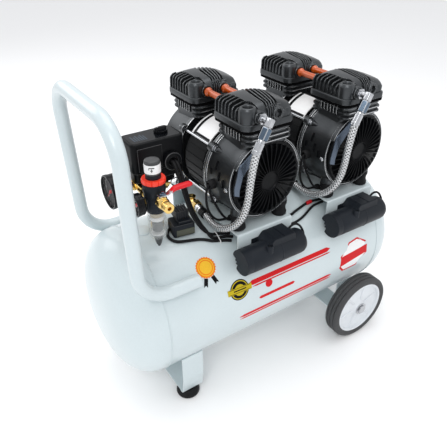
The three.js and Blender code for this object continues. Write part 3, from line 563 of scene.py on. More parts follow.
def wheel(end, s):
    """A wheel that faces outwards on side s; h runs from its inner face at -19 to its outer face at 19."""
    body = f"wheel_{end}"
    place = (AXLE_X, s * WHEEL_Y, AXLE_Z)

    def out(profile):
        return [(r, s * h) for r, h in profile]

    tread = [(66.4, -16.4), (69, -17.8), (73, -18.6), (76.4, -18.2), (79.2, -16.6), (80.9, -13.8)]
    for g in (-9.2, 0.0, 9.2):
        tread += [(81.4, g - 3.2), (81.4, g - 1.2), (79.7, g - 0.8), (79.7, g + 0.8), (81.4, g + 1.2),
                  (81.4, g + 3.2)]
    tread += [(80.9, 13.8), (79.2, 16.6), (76.4, 18.2), (73, 18.6), (72, 17.9), (71, 18.4), (69, 17.8),
              (66.4, 16.4)]
    piece(f"tyre_tread_{end}", [lathe(out(tread), 96, "y", place, ring=True)], "tyre", body, f"tyre_{end}",
          angle=35)
    dish = [(8.7, -18), (17, -18), (18, -17), (18, -5), (58, -4), (61.5, -15.5), (66, -16), (66, 16),
            (63.6, 16.6), (61.6, 15.6), (60.2, 9.5), (56, 7.2), (40, 6.6), (24, 8.2), (19.4, 11.6),
            (17.6, 14.6), (15.8, 17.2), (13.6, 18), (8.7, 18)]
    shapes = [lathe(out(dish), 96, "y", place, ring=True)]
    for k in range(6):
        rib = []
        for r, w, h in ((14, 6.0, 12.2), (24, 5.6, 10.8), (40, 5.2, 9.4), (56, 5.0, 9.4), (61.5, 4.8, 12.0)):
            rib.append([(r, -w / 2, 5), (r, -w / 2 + 1.2, h - 0.5), (r, 0, h), (r, w / 2 - 1.2, h - 0.5),
                        (r, w / 2, 5)])
        verts, faces = loft(rib)
        a = TAU * (k + 0.25) / 6
        turned = [(x * cos(a) - y * sin(a) + place[0], place[1] + s * h, x * sin(a) + y * cos(a) + place[2])
                  for x, y, h in verts]
        shapes.append((turned, faces))
    piece(f"wheel_rim_{end}", shapes, "rim", body, f"rim_{end}", angle=32)


for end, s in ENDS.items():
    wheel(end, s)


# ---- Motor units ---------------------------------------------------------------------------

# The four screw bosses of a head: x, y, radius, height of the top
BOSSES = [(-41.5, -35, 15.5, 611.6), (-39, 39, 10.5, 605), (36, -38, 11, 599), (36.5, 38, 12.5, 602)]

def crown(x, y):
    """Height of the head's domed top."""
    across = (x + 3) / 54
    return 616.6 - (7.0 if x < -3 else 11.5) * across ** 2 - 4.6 * ((y - 10) / 52) ** 2


def slab(stations, low, drop=0.0):
    """A raised panel whose top follows the dome. Each station is (y, left x, right x, height's share)."""
    rings = []
    for y, left, right, share in stations:
        xs = [left + (right - left) * k / 6 for k in range(7)]
        top = [(x, y, low + (crown(x, y) - drop - low) * share) for x in xs]
        rings.append([(left, y, low), *top, (right, y, low)])
    return loft(rings)


def head_shapes():
    """A cylinder head about its barrel's centre; its ports face the front and the rear."""
    flange = [(573.6, 108.6, 103.6, 15.5), (574.4, 110, 105, 16), (581.4, 110, 105, 16),
              (583.4, 109, 104, 15.6), (584.6, 106, 101, 14.4), (585, 100, 96, 13)]
    shapes = [tower(flange, HEAD_X)]
    rings = [[(*p, 579) for p in rrect(100, 98, 15, 6, HEAD_X)]]
    for shrink, fall in ((0, 21), (0.6, 16), (2.2, 13), (5.2, 11), (9, 10), (20, 9.4), (50, 9), (90, 9)):
        outline = rrect(99 - shrink, 97 - shrink, max(3, 15 - shrink / 3), 6, HEAD_X)
        rings.append([(x, y, crown(x, y) - fall) for x, y in outline])
    shapes.append(loft(rings))
    for x, y, r, top in BOSSES:
        rim = [(0, 575), (r - 0.4, 575), (r - 0.4, 586), (r, top - 7), (r - 0.7, top - 3.4),
               (r - 2.6, top - 0.9), (r - 5, top), (r - 6, top - 0.4), (r - 6.8, top - 1.6),
               (r - 7.2, top - 13), (0, top - 13)]
        shapes.append(lathe(rim, 40, "z", (x, y, 0)))
    for i in range(7):
        y = 42.4 - 10.3 * i
        inner = (-44, -38, -34, -32.6, -31.6, -31, -31)[i]
        fade = 0.5 if i < 5 else 2.4
        top = [(x, crown(x, y) - fade) for x in (inner + 3, inner, inner - 5)]
        corner = [(-50.5, crown(-50, y) - 1 - fade), (-53.6, crown(-54, y) - 3.2 - fade),
                  (-54.8, crown(-54, y) - 7), (-55.4, 586), (-55.4, 581)]
        shapes.append(prism([(inner + 3, 596), *top, *corner, (-44, 579), (-44, 596)], y - 1.3, y + 1.3, "y"))
    band = []
    for k in range(15):
        y = 48.4 - 97.2 * k / 14
        left = -47 + 15 * min(1, (48.4 - y) / 24) ** 0.7
        right = -2 - 9.4 * sin(pi / 2 * min(1, (48.4 - y) / 90))
        band.append((y, left if y > -20 else max(left, -26), right, (0.72, 0.9, 0.97)[k] if k < 3
                     else (0.42, 0.86, 0.96)[14 - k] if k > 11 else 1))
    shapes.append(slab(band, 590))
    for k in range(5):
        path = []
        for j in range(15):
            t = j / 14
            x = (1 - t) ** 2 * (4 + 8.2 * k) + 2 * t * (1 - t) * (-16 + 9.5 * k) + t * t * (-9.5 + 4.4 * k)
            y = 48.2 - 96.6 * t
            edge = min(t, 1 - t) * 14
            path.append((x, y, 584 if t > 0.95 else 598, crown(x, y) - (5.5, 1.6, 0.4, 0)[min(3, int(edge))]))
        shapes.append(wall(path, 2.2))
        x = -9.5 + 4.4 * k
        face = [(-50.6, 583), (-50.4, crown(x, -48) - 8), (-48.4, crown(x, -48) - 4.6),
                (-44, crown(x, -44) - 1.4), (-44, 583)]
        shapes.append(moved(prism(face, x - 1.1, x + 1.1, "x"), (0, 0.2, 0)))
    right = []
    for k in range(13):
        y = 47.4 - 94.2 * k / 12
        t = (48.2 - y) / 96.6
        left = (1 - t) ** 2 * 40 + 2 * t * (1 - t) * 25.5 + t * t * 13 + 2.4
        share = (0.66, 0.88)[k] if k < 2 else (0.5, 0.84)[12 - k] if k > 10 else 1
        right.append((y, left, 45.6 - 3.4 * max(0, abs(y) - 34) / 14, share))
    shapes.append(slab(right, 588, 0.6))
    for i in range(6):
        y = -20 + 10.4 * i
        outline_fin = [(40, 579), (50.6, 579), (51.4, 583), (50.4, 590), (47, crown(46, y) - 5),
                       (40, crown(42, y) - 3)]
        shapes.append(prism(outline_fin, y - 1.2, y + 1.2, "y"))
    stud = [(0, 596), (5.4, 596), (5.2, 605), (4.4, 606.4), (3.2, 606.6), (2.6, 604.8), (0, 604.8)]
    shapes.append(lathe(stud, 28, "z", (20.5, -37.5, 0)))
    for x in PORTS:
        for s in (-1, 1):
            collar = [(7.2, s * 40), (12, s * 40), (11.6, s * 51.4), (10.8, s * 52.4), (8.2, s * 52.5),
                      (7.2, s * 51.6)]
            shapes.append(lathe(collar, 36, "y", (x, 0, PORT_Z), ring=True))
            plug = [(0, s * 38), (7.3, s * 38), (7.3, s * 43), (0, s * 43)]
            shapes.append(lathe(plug, 20, "y", (x, 0, PORT_Z)))
    return shapes


def bolt_shapes():
    """The recessed socket screws of a head."""
    shapes = []
    for x, y, r, top in BOSSES:
        q = min(6, r - 7.8)
        screw = [(0, top - 13.4), (q, top - 13.4), (q, top - 10), (q - 0.8, top - 9.2), (2.2, top - 9.2),
                 (2.2, top - 11.4), (0, top - 11.4)]
        shapes.append(lathe(screw, 24, "z", (x, y, 0)))
    return shapes


def crankcase_shapes():
    """The rear crankcase about its unit's centre: bell, throat, finned barrel and feet."""
    bell = [(0, 47), (82, 47), (84, 46.2), (87.2, 46.2), (88, 47), (88, 52.6), (87, 53.6), (84.6, 54.2),
            (83.6, 57), (83, 66), (82.4, 84), (81.4, 104), (80.4, 114), (80.6, 116), (80.4, 120),
            (79.4, 121.4), (76, 121.4), (75.2, 120.4), (75.2, 115), (0, 115)]
    shapes = [lathe(bell, 96, "y", (0, 0, SHAFT_Z))]
    throat = [(470, 163, 64, 18, 83), (490, 147, 66, 20, 83), (503, 132, 68, 22, 83), (513, 120, 70, 23, 83),
              (521, 110, 73, 23, 83.4), (529, 102, 77, 21, 84), (537, 96, 82, 18, 84.2),
              (544, 93.4, 87, 15, 84.4), (568, 93, 89, 14, 84.4)]
    shapes.append(loft([[(x, y + cy, z) for x, y in rrect(w, d, r, 7)] for z, w, d, r, cy in throat]))
    for s in (-1, 1):
        for z in (542.4, 551.6):
            fin = [(z, 94, 20, 7), (z + 1.4, 98.2, 25, 10), (z + 3.2, 99.4, 26.4, 11), (z + 5, 98.2, 25, 10),
                   (z + 6.4, 94, 20, 7)]
            shapes.append(tower(fin, 0, HEAD_Y + s * 35.2))
    deck = [(561, 94, 91, 14), (562.4, 98, 95, 15), (565.6, 99.4, 96.4, 15), (567.4, 99, 96, 14)]
    shapes.append(tower(deck, 0, HEAD_Y, 7))
    for s in (-1, 1):
        for i in range(6):
            y = 64 + 8.4 * i
            a, b = sorted((s * 44, s * 50))
            shapes.append(box(a, b, y - 1.6, y + 1.6, 549, 566))
    for s in (-1, 1):
        leg = [(0, 402.6), (13.6, 402.6), (14.6, 404), (14.6, 408), (13.4, 414), (13, 430), (0, 430)]
        shapes.append(lathe(leg, 28, "z", (s * FOOT_X, FOOT_Y, 0)))
        shapes.append(box(s * FOOT_X - 4, s * FOOT_X + 4, 60, FOOT_Y, 402.8, 425))
    for a in ROD_ANGLES:
        x, z = polar(ROD_R, a)
        lug = [(0, 46.4), (9.4, 46.4), (9.4, 56.6), (8.4, 58), (6.8, 59.2), (0, 59.2)]
        shapes.append(lathe(lug, 28, "y", (x, 0, SHAFT_Z + z)))
        foot = [(0, 58), (7.6, 58), (6, 66), (3, 76), (0, 78)]
        shapes.append(lathe(foot, 24, "y", (x * 0.93, 0, SHAFT_Z + z * 0.93)))
    return shapes


def on_bell(y, a0, a1, w, low, high, n=5):
    """A strip round the front bell at place y, from angle a0 to a1, between two radii."""
    rings = []
    for k in range(n + 1):
        a = radians(a0 + (a1 - a0) * k / n)
        rings.append([(r * cos(a), y + v, SHAFT_Z + r * sin(a))
                      for r, v in ((low, -w), (high, -w), (high, w), (low, w))])
    return loft(rings)


def cover_shapes():
    """The rear fan cover: a rim, a plain middle and thin ribs that run over its edge."""
    def height(r):
        return 137.3 - 0.2 * max(0, (r - 17) / 10) ** 2 - 5.6 * max(0, (r - 52) / 20) ** 2.4

    dish = [(0, 133), (17, 133), (18.4, 134.6), (19.2, 136.6), (20, 136.2), (20.4, 129.6), (40, 128.6),
            (58, 126.6), (65.4, 124.6), (67.6, 126.8), (70.4, 127.4), (72.4, 126.6), (73.6, 124.6),
            (74, 122.6), (74, 121.9), (70.4, 121.9), (60, 124), (0, 126)]
    shapes = [lathe(dish, 96, "y", (0, 0, SHAFT_Z))]
    count = 34
    for k in range(count):
        a = TAU * (k + 0.5) / count
        rings = []
        for r in (19.4, 27, 36, 46, 54, 60, 65, 69, 72.2):
            w = 0.62 + 0.006 * r
            top = height(r) + (0.2 if r > 20 else -0.6) - (1.2 if r > 71 else 0)
            low = 125.4 if r < 66 else 123
            bend = 0.0022 * max(0, r - 30) ** 2
            rings.append([(r, v + bend, h) for v, h in ((-w, low), (-w, top - 0.5), (-w * 0.4, top),
                    (w * 0.4, top), (w, top - 0.5), (w, low))])
        verts, faces = loft(rings)
        c, s = cos(a), sin(a)
        shapes.append(([(x * c - y * s, h, SHAFT_Z + x * s + y * c) for x, y, h in verts], faces))
    return shapes


def baffle_shapes(ux):
    """The bent plate at the handle side of a front fan cover."""
    outer = [(-26, 75), (-39.5, 65.4), (-52, 55.4), (-64, 46.6), (-67.6, 41.5), (-72, 22), (-76.2, 3.2),
             (-76, -9)]
    inner = [(-30, 60), (-43.6, 49.6), (-51, 40), (-60, 30), (-62.4, 25.6), (-66, 13), (-68.8, 1.5),
             (-69, -10)]
    rings = []
    for k, (a, b) in enumerate(zip(outer, inner)):
        back = 1.6 if 0 < k < 7 else 0.8
        rings.append([(ux + a[0], -121.6, SHAFT_Z + a[1]), (ux + a[0], -124, SHAFT_Z + a[1]),
                      (ux + b[0], -129, SHAFT_Z + b[1]), (ux + b[0] + back, -127, SHAFT_Z + b[1] - back / 2)])
    return [loft(rings)]


def mount_shapes():
    """The two rubber mounts of the rear crankcase."""
    profile = [(0, 371.5), (13.6, 371.5), (15, 373), (15, 378), (13.4, 382), (12.8, 387), (13.4, 392),
               (15, 396), (15, 401), (13.8, 402.4), (0, 402.4)]
    return [lathe(profile, 32, "z", (s * FOOT_X, FOOT_Y, 0)) for s in (-1, 1)]


def gasket_ring(cx, cy):
    """A head gasket: a rounded plate with the cylinder's bore through it."""
    hole, low, high = 38, 567.2, 573.8
    loops = [[(x + cx, y + cy, z) for x, y in rrect(w, d, 15, 6, -2.6)]
             for z, w, d in ((low, 103, 99), (low + 0.8, 108.6, 103.6), (high, 109, 104))]
    spokes = [((x - cx) / hypot(x - cx, y - cy), (y - cy) / hypot(x - cx, y - cy)) for x, y, _ in loops[0]]
    for z in (high, low):
        loops.append([(cx + hole * u, cy + hole * v, z) for u, v in spokes])
    n, m = len(spokes), len(loops)
    verts = [Vector(p) for loop in loops for p in loop]
    faces = [(i * n + k, i * n + (k + 1) % n, (i + 1) % m * n + (k + 1) % n, (i + 1) % m * n + k)
             for i in range(m) for k in range(n)]
    return verts, faces


head, bolts, case = head_shapes(), bolt_shapes(), crankcase_shapes()
cover, mounts = cover_shapes(), mount_shapes()
for side, ux in UNITS.items():
    for end, s in ENDS.items():
        def place(shapes):
            return at(shapes if s > 0 else [half_turn(p) for p in shapes], ux, UNIT_Y)

        tag = f"{side}_{end}"
        # Their bevelled edges take the lighter edge material, a painted highlight.
        piece(f"head_casting_{tag}", at(head, ux, UNIT_Y + s * HEAD_Y), "cast", cad=f"cylinder_head_{tag}",
              bevel=0.6, angle=32, edge="edge")
        piece(f"head_screws_{tag}", at(bolts, ux, UNIT_Y + s * HEAD_Y), "steel", bevel=0.25)
        piece(f"head_gasket_{tag}", [gasket_ring(ux, UNIT_Y + s * HEAD_Y)], "gasket")
        piece(f"crankcase_casting_{tag}", place(case), "cast", cad=f"crankcase_{tag}", bevel=0.6, angle=32,
              edge="edge")
        piece(f"fan_grille_{tag}", place(cover), "black", cad=f"fan_cover_{tag}", angle=40)
        piece(f"rubber_mounts_{tag}", place(mounts), "rubber", angle=50)
        # Black strips on the bell stand for the vent slots: painted shade in place of the dark inside the
        # openings.
        marks = [on_bell(y, a0, a1, 1.7, 80, 84.6) for y, a0,
                 a1 in ((78.5, 15, 27), (90.5, 4, 15), (103.5, -2, 8), (66, 6, 14))]
        piece(f"vent_slot_painted_shade_{tag}", place(marks), "black", bevel=0.3)

    stack = [(45.5, -44), (68, -44), (71, -42), (72, -33), (79.2, -32.6), (80, -32), (80, 32), (79.2, 32.6),
             (72, 33), (71, 42), (68, 44), (45.5, 44)]
    ribs = []
    for k in range(28):
        turn = Matrix.Rotation(-TAU * k / 28, 3, "Y")
        ribs.append(moved(box(79, 81.2, -31.6, 31.6, -1.2, 1.2), turn=turn))
    piece(f"motor_stack_{side}", at([lathe(stack, 72, "y", ring=True)] + ribs, ux, UNIT_Y, SHAFT_Z), "stack",
          cad=f"stator_{side}", bevel=0.3)
    plate = on_bell(0, 103, 140.5, 31.5, 80.5, 82.4, 14)
    piece(f"rating_plate_{side}", at([plate], ux, UNIT_Y), "label", bevel=0.2)
    # Black strips along the plate's rear arc and its lower edge: painted shadow.
    line = [on_bell(22.5, 103.6, 140.4, 3.6, 81, 82.9, 14), on_bell(-5, 136.6, 140, 24.4, 81, 82.9, 3)]
    piece(f"rating_plate_painted_shadow_{side}", at(line, ux, UNIT_Y), "ink")

    # Its bevelled edges take the lighter edge material, a painted highlight.
    piece(f"case_shroud_{side}", at([on_bell(-116.4, 90, 152, 4.6, 78.2, 80.4, 16)], ux), "cast", bevel=0.4,
          edge="edge")
    piece(f"fan_baffle_{side}", baffle_shapes(ux), "plate", bevel=0.3)
    screws = [bar("x", 4.4, ux - 84.4, ux - 80.6, -106, 466, 24, cham=0.9),
              bar("x", 3.2, ux - 86, ux - 84, -106, 466, 6, cham=0.5)]
    piece(f"cover_screw_{side}", screws, "steel", bevel=0.2)
    grommet = [(4.4, -90.6), (4.8, -92.4), (7.4, -92.6), (8.8, -91), (9.2, -86), (9.2, -78), (4.4, -78)]
    piece(f"lead_grommet_{side}", at([lathe(grommet, 32, "x", (0, -64, 461), ring=True)], ux), "rubber",
          bevel=0.3)

    rods, ends = [], []
    for a in ROD_ANGLES:
        x, z = polar(ROD_R, a, ux, SHAFT_Z)
        rods.append(bar("y", 2.6, UNIT_Y - 64, UNIT_Y + 64, x, z, 16, cham=0.5))
        for s in (-1, 1):
            ends += [side_bar(s, 5.6, 59.4, 64.8, x, z, 6, 0.8, UNIT_Y),
                     side_bar(s, 7, 59.1, 60, x, z, 24, 0.2, UNIT_Y)]
    piece(f"tie_rods_{side}", rods + ends, "steel", bevel=0.25)

    for letter, px in zip("ab", PORTS):
        tube = smooth_path([(ux + px, UNIT_Y + y, PORT_Z) for y in (-40, -30, -15, 15, 30, 40)], 2)
        radii = [6.2 + 2.8 * max(0.0, 1 - abs(abs(p.y - UNIT_Y) - 26) / 5) ** 0.6 for p in tube]
        piece(f"crossover_tube_{side}_{letter}", [sweep(tube, radii, 24)], "orange",
              cad=f"transfer_tube_{side}_{letter}", angle=60)

    # discharge elbow: collar and inlet, corner block, leaning arm with its nut and ferrule
    port = Vector((ux + PORTS[0], 0, PORT_Z))
    arm = [(0, 6.6), (4.6, 6.6), (6.2, 5.2), (6.2, -9), (0, -9)]
    nut = [(0, -8.8), (8.4, -8.8), (9.9, -10.4), (9.9, -28.6), (8.4, -30.2), (0, -30.2)]
    ferrule = [(0, -30), (6.4, -30), (6.8, -31), (6.8, -34.4), (7.8, -35.2), (7.8, -49.4), (8.5, -50),
               (8.5, -53.4), (7.7, -54), (7.7, -56.4), (6.4, -57), (0, -57)]
    collar = [(0, -119), (8.6, -119), (8.6, -127.2), (9.6, -127.5), (10, -128.4), (10, -134), (0, -135.6)]
    turn = Matrix.Rotation(LEAN, 3, "Y")
    centre = (ux + ELBOW.x, ELBOW.y, ELBOW.z)

    def leaning(profile, n):
        return moved(moved(lathe(profile, n), turn=turn), centre)

    cube = tower([(z, w, w, 3) for z, w in ((-8, 11), (-7, 13), (5.6, 13), (7, 11))], n=3)
    cube = moved(moved(cube, turn=turn), centre)
    elbow = [lathe(collar, 6, "y", (port.x, 0, port.z)), bar("y", 6.2, -150, -119, port.x, port.z, 28), cube,
             leaning(arm, 28)]
    piece(f"discharge_elbow_{side}", elbow, "steel", cad=f"hose_elbow_{side}", bevel=0.4)
    # The nut's bevelled edges take bright steel over the dark blue zinc, a painted highlight.
    piece(f"elbow_nut_{side}", [leaning(nut, 6)], "zinc", bevel=0.9, edge="steel")
    piece(f"elbow_ferrule_{side}", [leaning(ferrule, 32)], "steel", bevel=0.3)

    # check valve: hexagon foot, body, horizontal arm with the hose nut and its ferrule
    vx, vy = ux + VALVE_AT.x, VALVE_AT.y
    foot = [(0, 366.9), (11.6, 366.9), (12.4, 367.8), (12.4, 374.4), (11.6, 375.2), (9.4, 375.6), (9.4, 388),
            (8.6, 389.6), (6, 390), (0, 390)]
    piece(f"check_valve_body_{side}", [lathe(foot[:6] + [(0, 375.6)], 6, "z", (vx, vy, 0)),
                                       lathe([(0, 375), *foot[6:]], 32, "z", (vx, vy, 0)),
                                       sweep([Vector((vx, vy, 380)) + AWAY * t for t in (0, 10, 20)], 7.6,
                                             28)],
          "brass", cad=f"check_valve_{side}", bevel=0.4)

    def along(profile, n):
        flat = AWAY.cross(Vector((0, 0, 1)))
        verts, faces = lathe(profile, n)
        return [Vector((vx, vy, 380)) + AWAY * h + flat * u + Vector((0, 0, v)) for u, v, h in verts], faces

    nut = [(0, 19), (10.4, 19), (11.4, 20.2), (11.4, 33), (10.4, 34), (0, 34)]
    piece(f"check_valve_nut_{side}", [along(nut, 6)], "brass", bevel=0.5)
    sleeve = [(0, 33.8), (8.2, 33.8), (9, 34.8), (9, 43), (8.2, 44), (7.6, 44.2), (7.6, 46), (8.2, 46.4),
              (8.2, 50), (0, 50)]
    piece(f"check_valve_sleeve_{side}", [along(sleeve, 32)], "steel", bevel=0.3)
    ribs = [(0, 49.6), (8.4, 49.6)]
    for h in (50.4, 54.6, 58.8, 63):
        ribs += [(9.2, h + 0.4), (9.2, h + 3), (8.3, h + 3.4)]
    piece(f"check_valve_ferrule_{side}", [along(ribs + [(8.3, 67.9), (0, 67.9)], 32)], "black", bevel=0.2)


# ---- Capacitor housings --------------------------------------------------------------------

for side, ux in UNITS.items():
    y, z = -145, 327
    can = [(0, -62), (25.6, -62), (26.2, -61), (26.4, -20), (26.4, 58), (25.6, 64), (23.4, 68.4), (19, 71.6),
           (12, 73.2), (0, 73.4)]
    shapes = [lathe(can, 64, "x", (ux, y, z))]
    # the left end: a wall with a stepped notch in its rear side
    notch = [(y + a, z + b) for a, b in ((13, -17.4), (10.4, -11.6), (16, -11), (13.4, -5), (18, -4.4),
                                         (16.6, 1.2), (21.6, 2.6))]
    arc = [polar(26, 12 + 290 * k / 48, y, z) for k in range(49)]
    shapes.append(prism(arc + notch, ux - 75.4, ux - 61, "x"))
    collar = [(26.3, 6), (26.9, 6.6), (26.9, 8.2), (26.3, 8.8), (25, 8.8), (25, 6)]
    shapes.append(lathe(collar, 64, "x", (ux, y, z), ring=True))
    box_side = [(-18, 330), (-22, 346), (-21, 350), (-10, 361.4), (-8, 362.4), (39, 362.4), (41.4, 361),
                (45.4, 342), (45.4, 330)]
    shapes.append(prism([(ux + a, b) for a, b in box_side], -161.6, -121.4, "y"))
    for a, b in ((-7, 12), (15, 38)):
        lid = [(a, 362.2), (a + 0.6, 363.4), (b, 363.4), (b + 0.6, 362.2)]
        shapes.append(prism([(ux + u, v) for u, v in lid], -160.2, -122.6, "y"))
    boss = [(0, 330), (7, 330), (7, 354.4), (6.2, 355.6), (4.4, 355.6), (3.8, 351), (0, 351)]
    shapes.append(lathe(boss, 28, "z", (ux - 20.5, -161.6, 0)))
    shapes.append(box(ux - 34, ux + 40, -121.6, -118.4, 318, 352))
    piece(f"capacitor_case_{side}", shapes, "slate", cad=f"capacitor_housing_{side}", bevel=0.7, angle=35)
    piece(f"capacitor_screw_{side}", [bar("z", 3.4, 350.6, 352.8, ux - 20.5, -161.6, 20, cham=0.4)], "cast",
          bevel=0.2)


# ---- Pressure switch and manifold ----------------------------------------------------------

riser = [(0, 368), (13.4, 368), (14.2, 368.8), (14.2, 377), (13.4, 378), (9.8, 378.4), (9.8, 448), (0, 448)]
shapes = [lathe(riser[:6] + [(0, 378.4)], 6, "z", (RISER_X, 0, 0)), bar("z", 9.8, 378, 480, RISER_X, 0, 32),
          lathe([(0, 449), (13.6, 449), (14.6, 450.4), (14.6, 474), (13.6, 475.4), (0, 475.4)], 8, "z",
                (RISER_X, 0, 0)),
          bar("x", 8.6, -258, RISER_X, 0, 468, 28), bar("x", 7.4, RISER_X, -192.8, 0, 451, 28), bar("y", 7.8,
                  -55.8, 0, RX, 468, 28),
          bar("y", 9.6, -44, -32, RX, 468, 6, cham=1.2), bar("x", 10.4, -251, RX + 9, 0, 468, 8, cham=1.2),
          bar("z", 11.4, 475, 479.9, RISER_X, 0, 6, cham=0.8)]
for h in range(12):
    ridge = [(9.6, 382 + 5.2 * h), (10.5, 383.2 + 5.2 * h), (9.6, 384.4 + 5.2 * h)]
    shapes.append(lathe(ridge, 32, "z", (RISER_X, 0, 0), ring=True))
piece("brass_manifold", shapes, "brass", cad="manifold", bevel=0.4)

x0, x1 = -255, -154
cx = (x0 + x1) / 2
base = [(480.2, 92, 47, 8), (480.8, 94, 49, 9), (500, 95, 50, 9), (501, 96, 51, 9)]
case_rings = [(499, 98, 53, 9), (499.6, 100, 55, 9.6), (549, 101, 56, 10), (552, 100, 55, 9.6),
              (553.5, 97.4, 52.4, 9), (554, 94, 49, 8)]
gland = [(0, -26), (17, -26), (17, -35.4), (16, -36.6), (13.4, -37), (12.2, -38), (9.6, -38), (8.6, -37.2),
         (8.6, -31), (0, -31)]
shapes = [tower(base, cx), tower(case_rings, cx), lathe(gland, 40, "y", (-183.5, 0, 512))]
shapes.append(box(x0 + 9, x1 - 46, -29.2, -27.6, 504, 546))
# The bevelled edges take the grey knob colour over the black, a painted highlight.
piece("switch_case", shapes, "black", cad="pressure_switch", bevel=0.7, edge="knob")
piece("switch_lower_case", [box(-236, -161, 6, 26, 452, 480), box(-232, -196, 13, 21, 446, 452.4)], "black",
      bevel=1.2)
top_plate = tower([(553.6, 92, 46, 6), (554.3, 91, 45, 6)], cx, 0, 5)
marks = [box(x0 + 13 + 4.4 * i, x0 + 14.6 + 4.4 * i, -14, 10 - 5 * (i % 2), 554.2, 554.5) for i in range(6)]
piece("switch_top_panel", [top_plate], "gloss")
piece("switch_top_marks", marks, "zinc")
KX, KY = -185, 3
skirt = [polar(12.2 + 0.4 * cos(TAU * k / 2), 7.5 * k, KX, KY) for k in range(48)]
knob = [prism(skirt, 554.4, 559), tower([(558, 23, 8, 8 / 2.2), (563, 22.5, 6.6, 3),
                                         (564.3, 20, 5, 5 / 2.2)], KX, KY, 4)]
piece("switch_dial", knob, "gloss", "switch_knob", "switch_knob", bevel=0.4)
piece("switch_dial_mark", [box(KX - 10.6, KX - 4, KY - 0.6, KY + 0.6, 563.8, 564.5)], "label", "switch_knob")


# ---- Filter regulator ----------------------------------------------------------------------

here = (RX, RY, 0)
body = [(0, 452), (15.6, 452), (16.6, 453), (16.6, 455.6), (19, 458), (19.4, 460), (19.4, 476), (18.6, 478),
        (18.6, 490), (19.4, 492), (19.4, 505.4), (18.4, 506.8), (0, 506.8)]
shapes = [lathe(body, 56, "z", here), bar("z", 13, 506, 521.8, RX, RY, 40),
          bar("y", 12.4, -91, -60, RX, 480, 32, cham=1), bar("x", 9.4, -261.2, -226, RY, 473, 28, cham=1),
          bar("y", 12, -60, -55.9, RX, 468, 28, cham=1)]
for k in range(14):
    shapes.append(bar("z", 1.5, 459, 475, *polar(19.2, 360 * k / 14, RX, RY), 8, cham=0.5))
piece("regulator_housing", shapes, "slate", cad="regulator_body", bevel=0.5)
n = 120
outer = [polar(20.5 - (1.5 if (k * 12 / n) % 1 > 0.82 else 0), 360 * k / n) for k in range(n)]
inner = [polar(13.3, 360 * k / n) for k in range(n)]
rings = []
for outline, scale, zz in ((inner, 1, 507.2), (outer, 0.985, 507.2), (outer, 1, 508), (outer, 1, 512.6),
                           (outer, 0.94, 515), (inner, 1, 515)):
    rings.append([(RX + x * scale, RY + yy * scale, zz) for x, yy in outline])
verts, faces = loft(rings)
faces = faces[2:] + [[k, (k + 1) % n, 5 * n + (k + 1) % n, 5 * n + k] for k in range(n)]
piece("regulator_lock_ring", [(verts, faces)], "red_ring", angle=30)


def fluted(levels, depth, lobes, centre):
    """A round knob with shallow flutes. Each level is (z, radius, share of the depth)."""
    rings, n = [], 96
    for zz, r, share in levels:
        ring = []
        for k in range(n):
            a = TAU * k / n
            rr = r - depth * share * (0.5 + 0.5 * cos(lobes * a)) ** 3
            ring.append((centre[0] + rr * cos(a), centre[1] + rr * sin(a), zz))
        rings.append(ring)
    return loft(rings)


grip = fluted([(522.4, 12.6, 0), (523, 13.4, 0), (526, 13.5, 0), (541.6, 13.5, 0), (542.2, 13.5, 1),
               (544.6, 13.3, 1), (546.2, 12.4, 0.5), (547, 10.6, 0)], 0.7, 30, (RX, RY))
piece("regulator_grip", [grip], "knob", "regulator_knob", "regulator_knob", angle=45)
band = lathe([(13.4, 526), (13.75, 526), (13.75, 541.2), (13.4, 541.2)], 64, "z", here, ring=True)
piece("regulator_band", [band], "label", "regulator_knob")


def on_band(a0, a1, low, high):
    """A mark on the band of the knob, between two angles and two heights."""
    rings = []
    for k in range(7):
        a = a0 + (a1 - a0) * k / 6
        rings.append([(*polar(r, a, RX, RY), zz) for r,
                      zz in ((13.5, low), (14, low), (14, high), (13.5, high))])
    return loft(rings)


marks = [on_band(*mark) for mark in ((222, 258, 536.4, 537.8), (237, 241, 529.4, 535.6),
                                     (231, 247, 532, 533.4), (219, 222, 533.4, 537.4))]
piece("regulator_band_marks", marks, "ink", "regulator_knob")

cup = [(16.4, 451.6), (16.5, 408), (15.8, 403), (13.4, 399.2), (9.4, 397), (6, 396), (4.4, 394.6),
       (4.4, 388), (0, 388), (0, 395.4), (4, 397.6), (8.8, 399), (12.2, 401), (14.2, 404.6), (14.9, 408.4),
       (14.9, 451.6)]
piece("filter_bowl", [lathe(cup, 56, "z", here, ring=True)], "clear", cad="regulator_bowl", angle=50)
element = [polar(10.5 if k % 3 else 9.2, 5 * k, RX, RY) for k in range(72)]
piece("filter_element", [prism(element, 441, 451.6)], "filter", bevel=0.2)
piece("filter_collar", [bar("z", 12.2, 434, 441.4, RX, RY, 36, cham=0.8)], "label", bevel=0.2)
piece("filter_core", [bar("z", 9.4, 412, 434.4, RX, RY, 12, cham=0.8)], "knob", bevel=0.2)
baffle = [(0, 404.6), (9, 404.6), (12.4, 406), (12.4, 407.2), (3, 408.4), (3, 412.4), (0, 412.4)]
piece("filter_baffle", [lathe(baffle, 40, "z", here)], "label", bevel=0.2)
drain = [(0, 378.2), (2.2, 378.2), (2.8, 379), (2.8, 382), (4.6, 382.8), (5.4, 386), (6.8, 391),
         (7.6, 395.8), (6.8, 396.8), (0, 396.8)]
piece("bowl_drain", [lathe(drain, 32, "z", here)], "knob", bevel=0.2)


# ---- Gauges --------------------------------------------------------------------------------

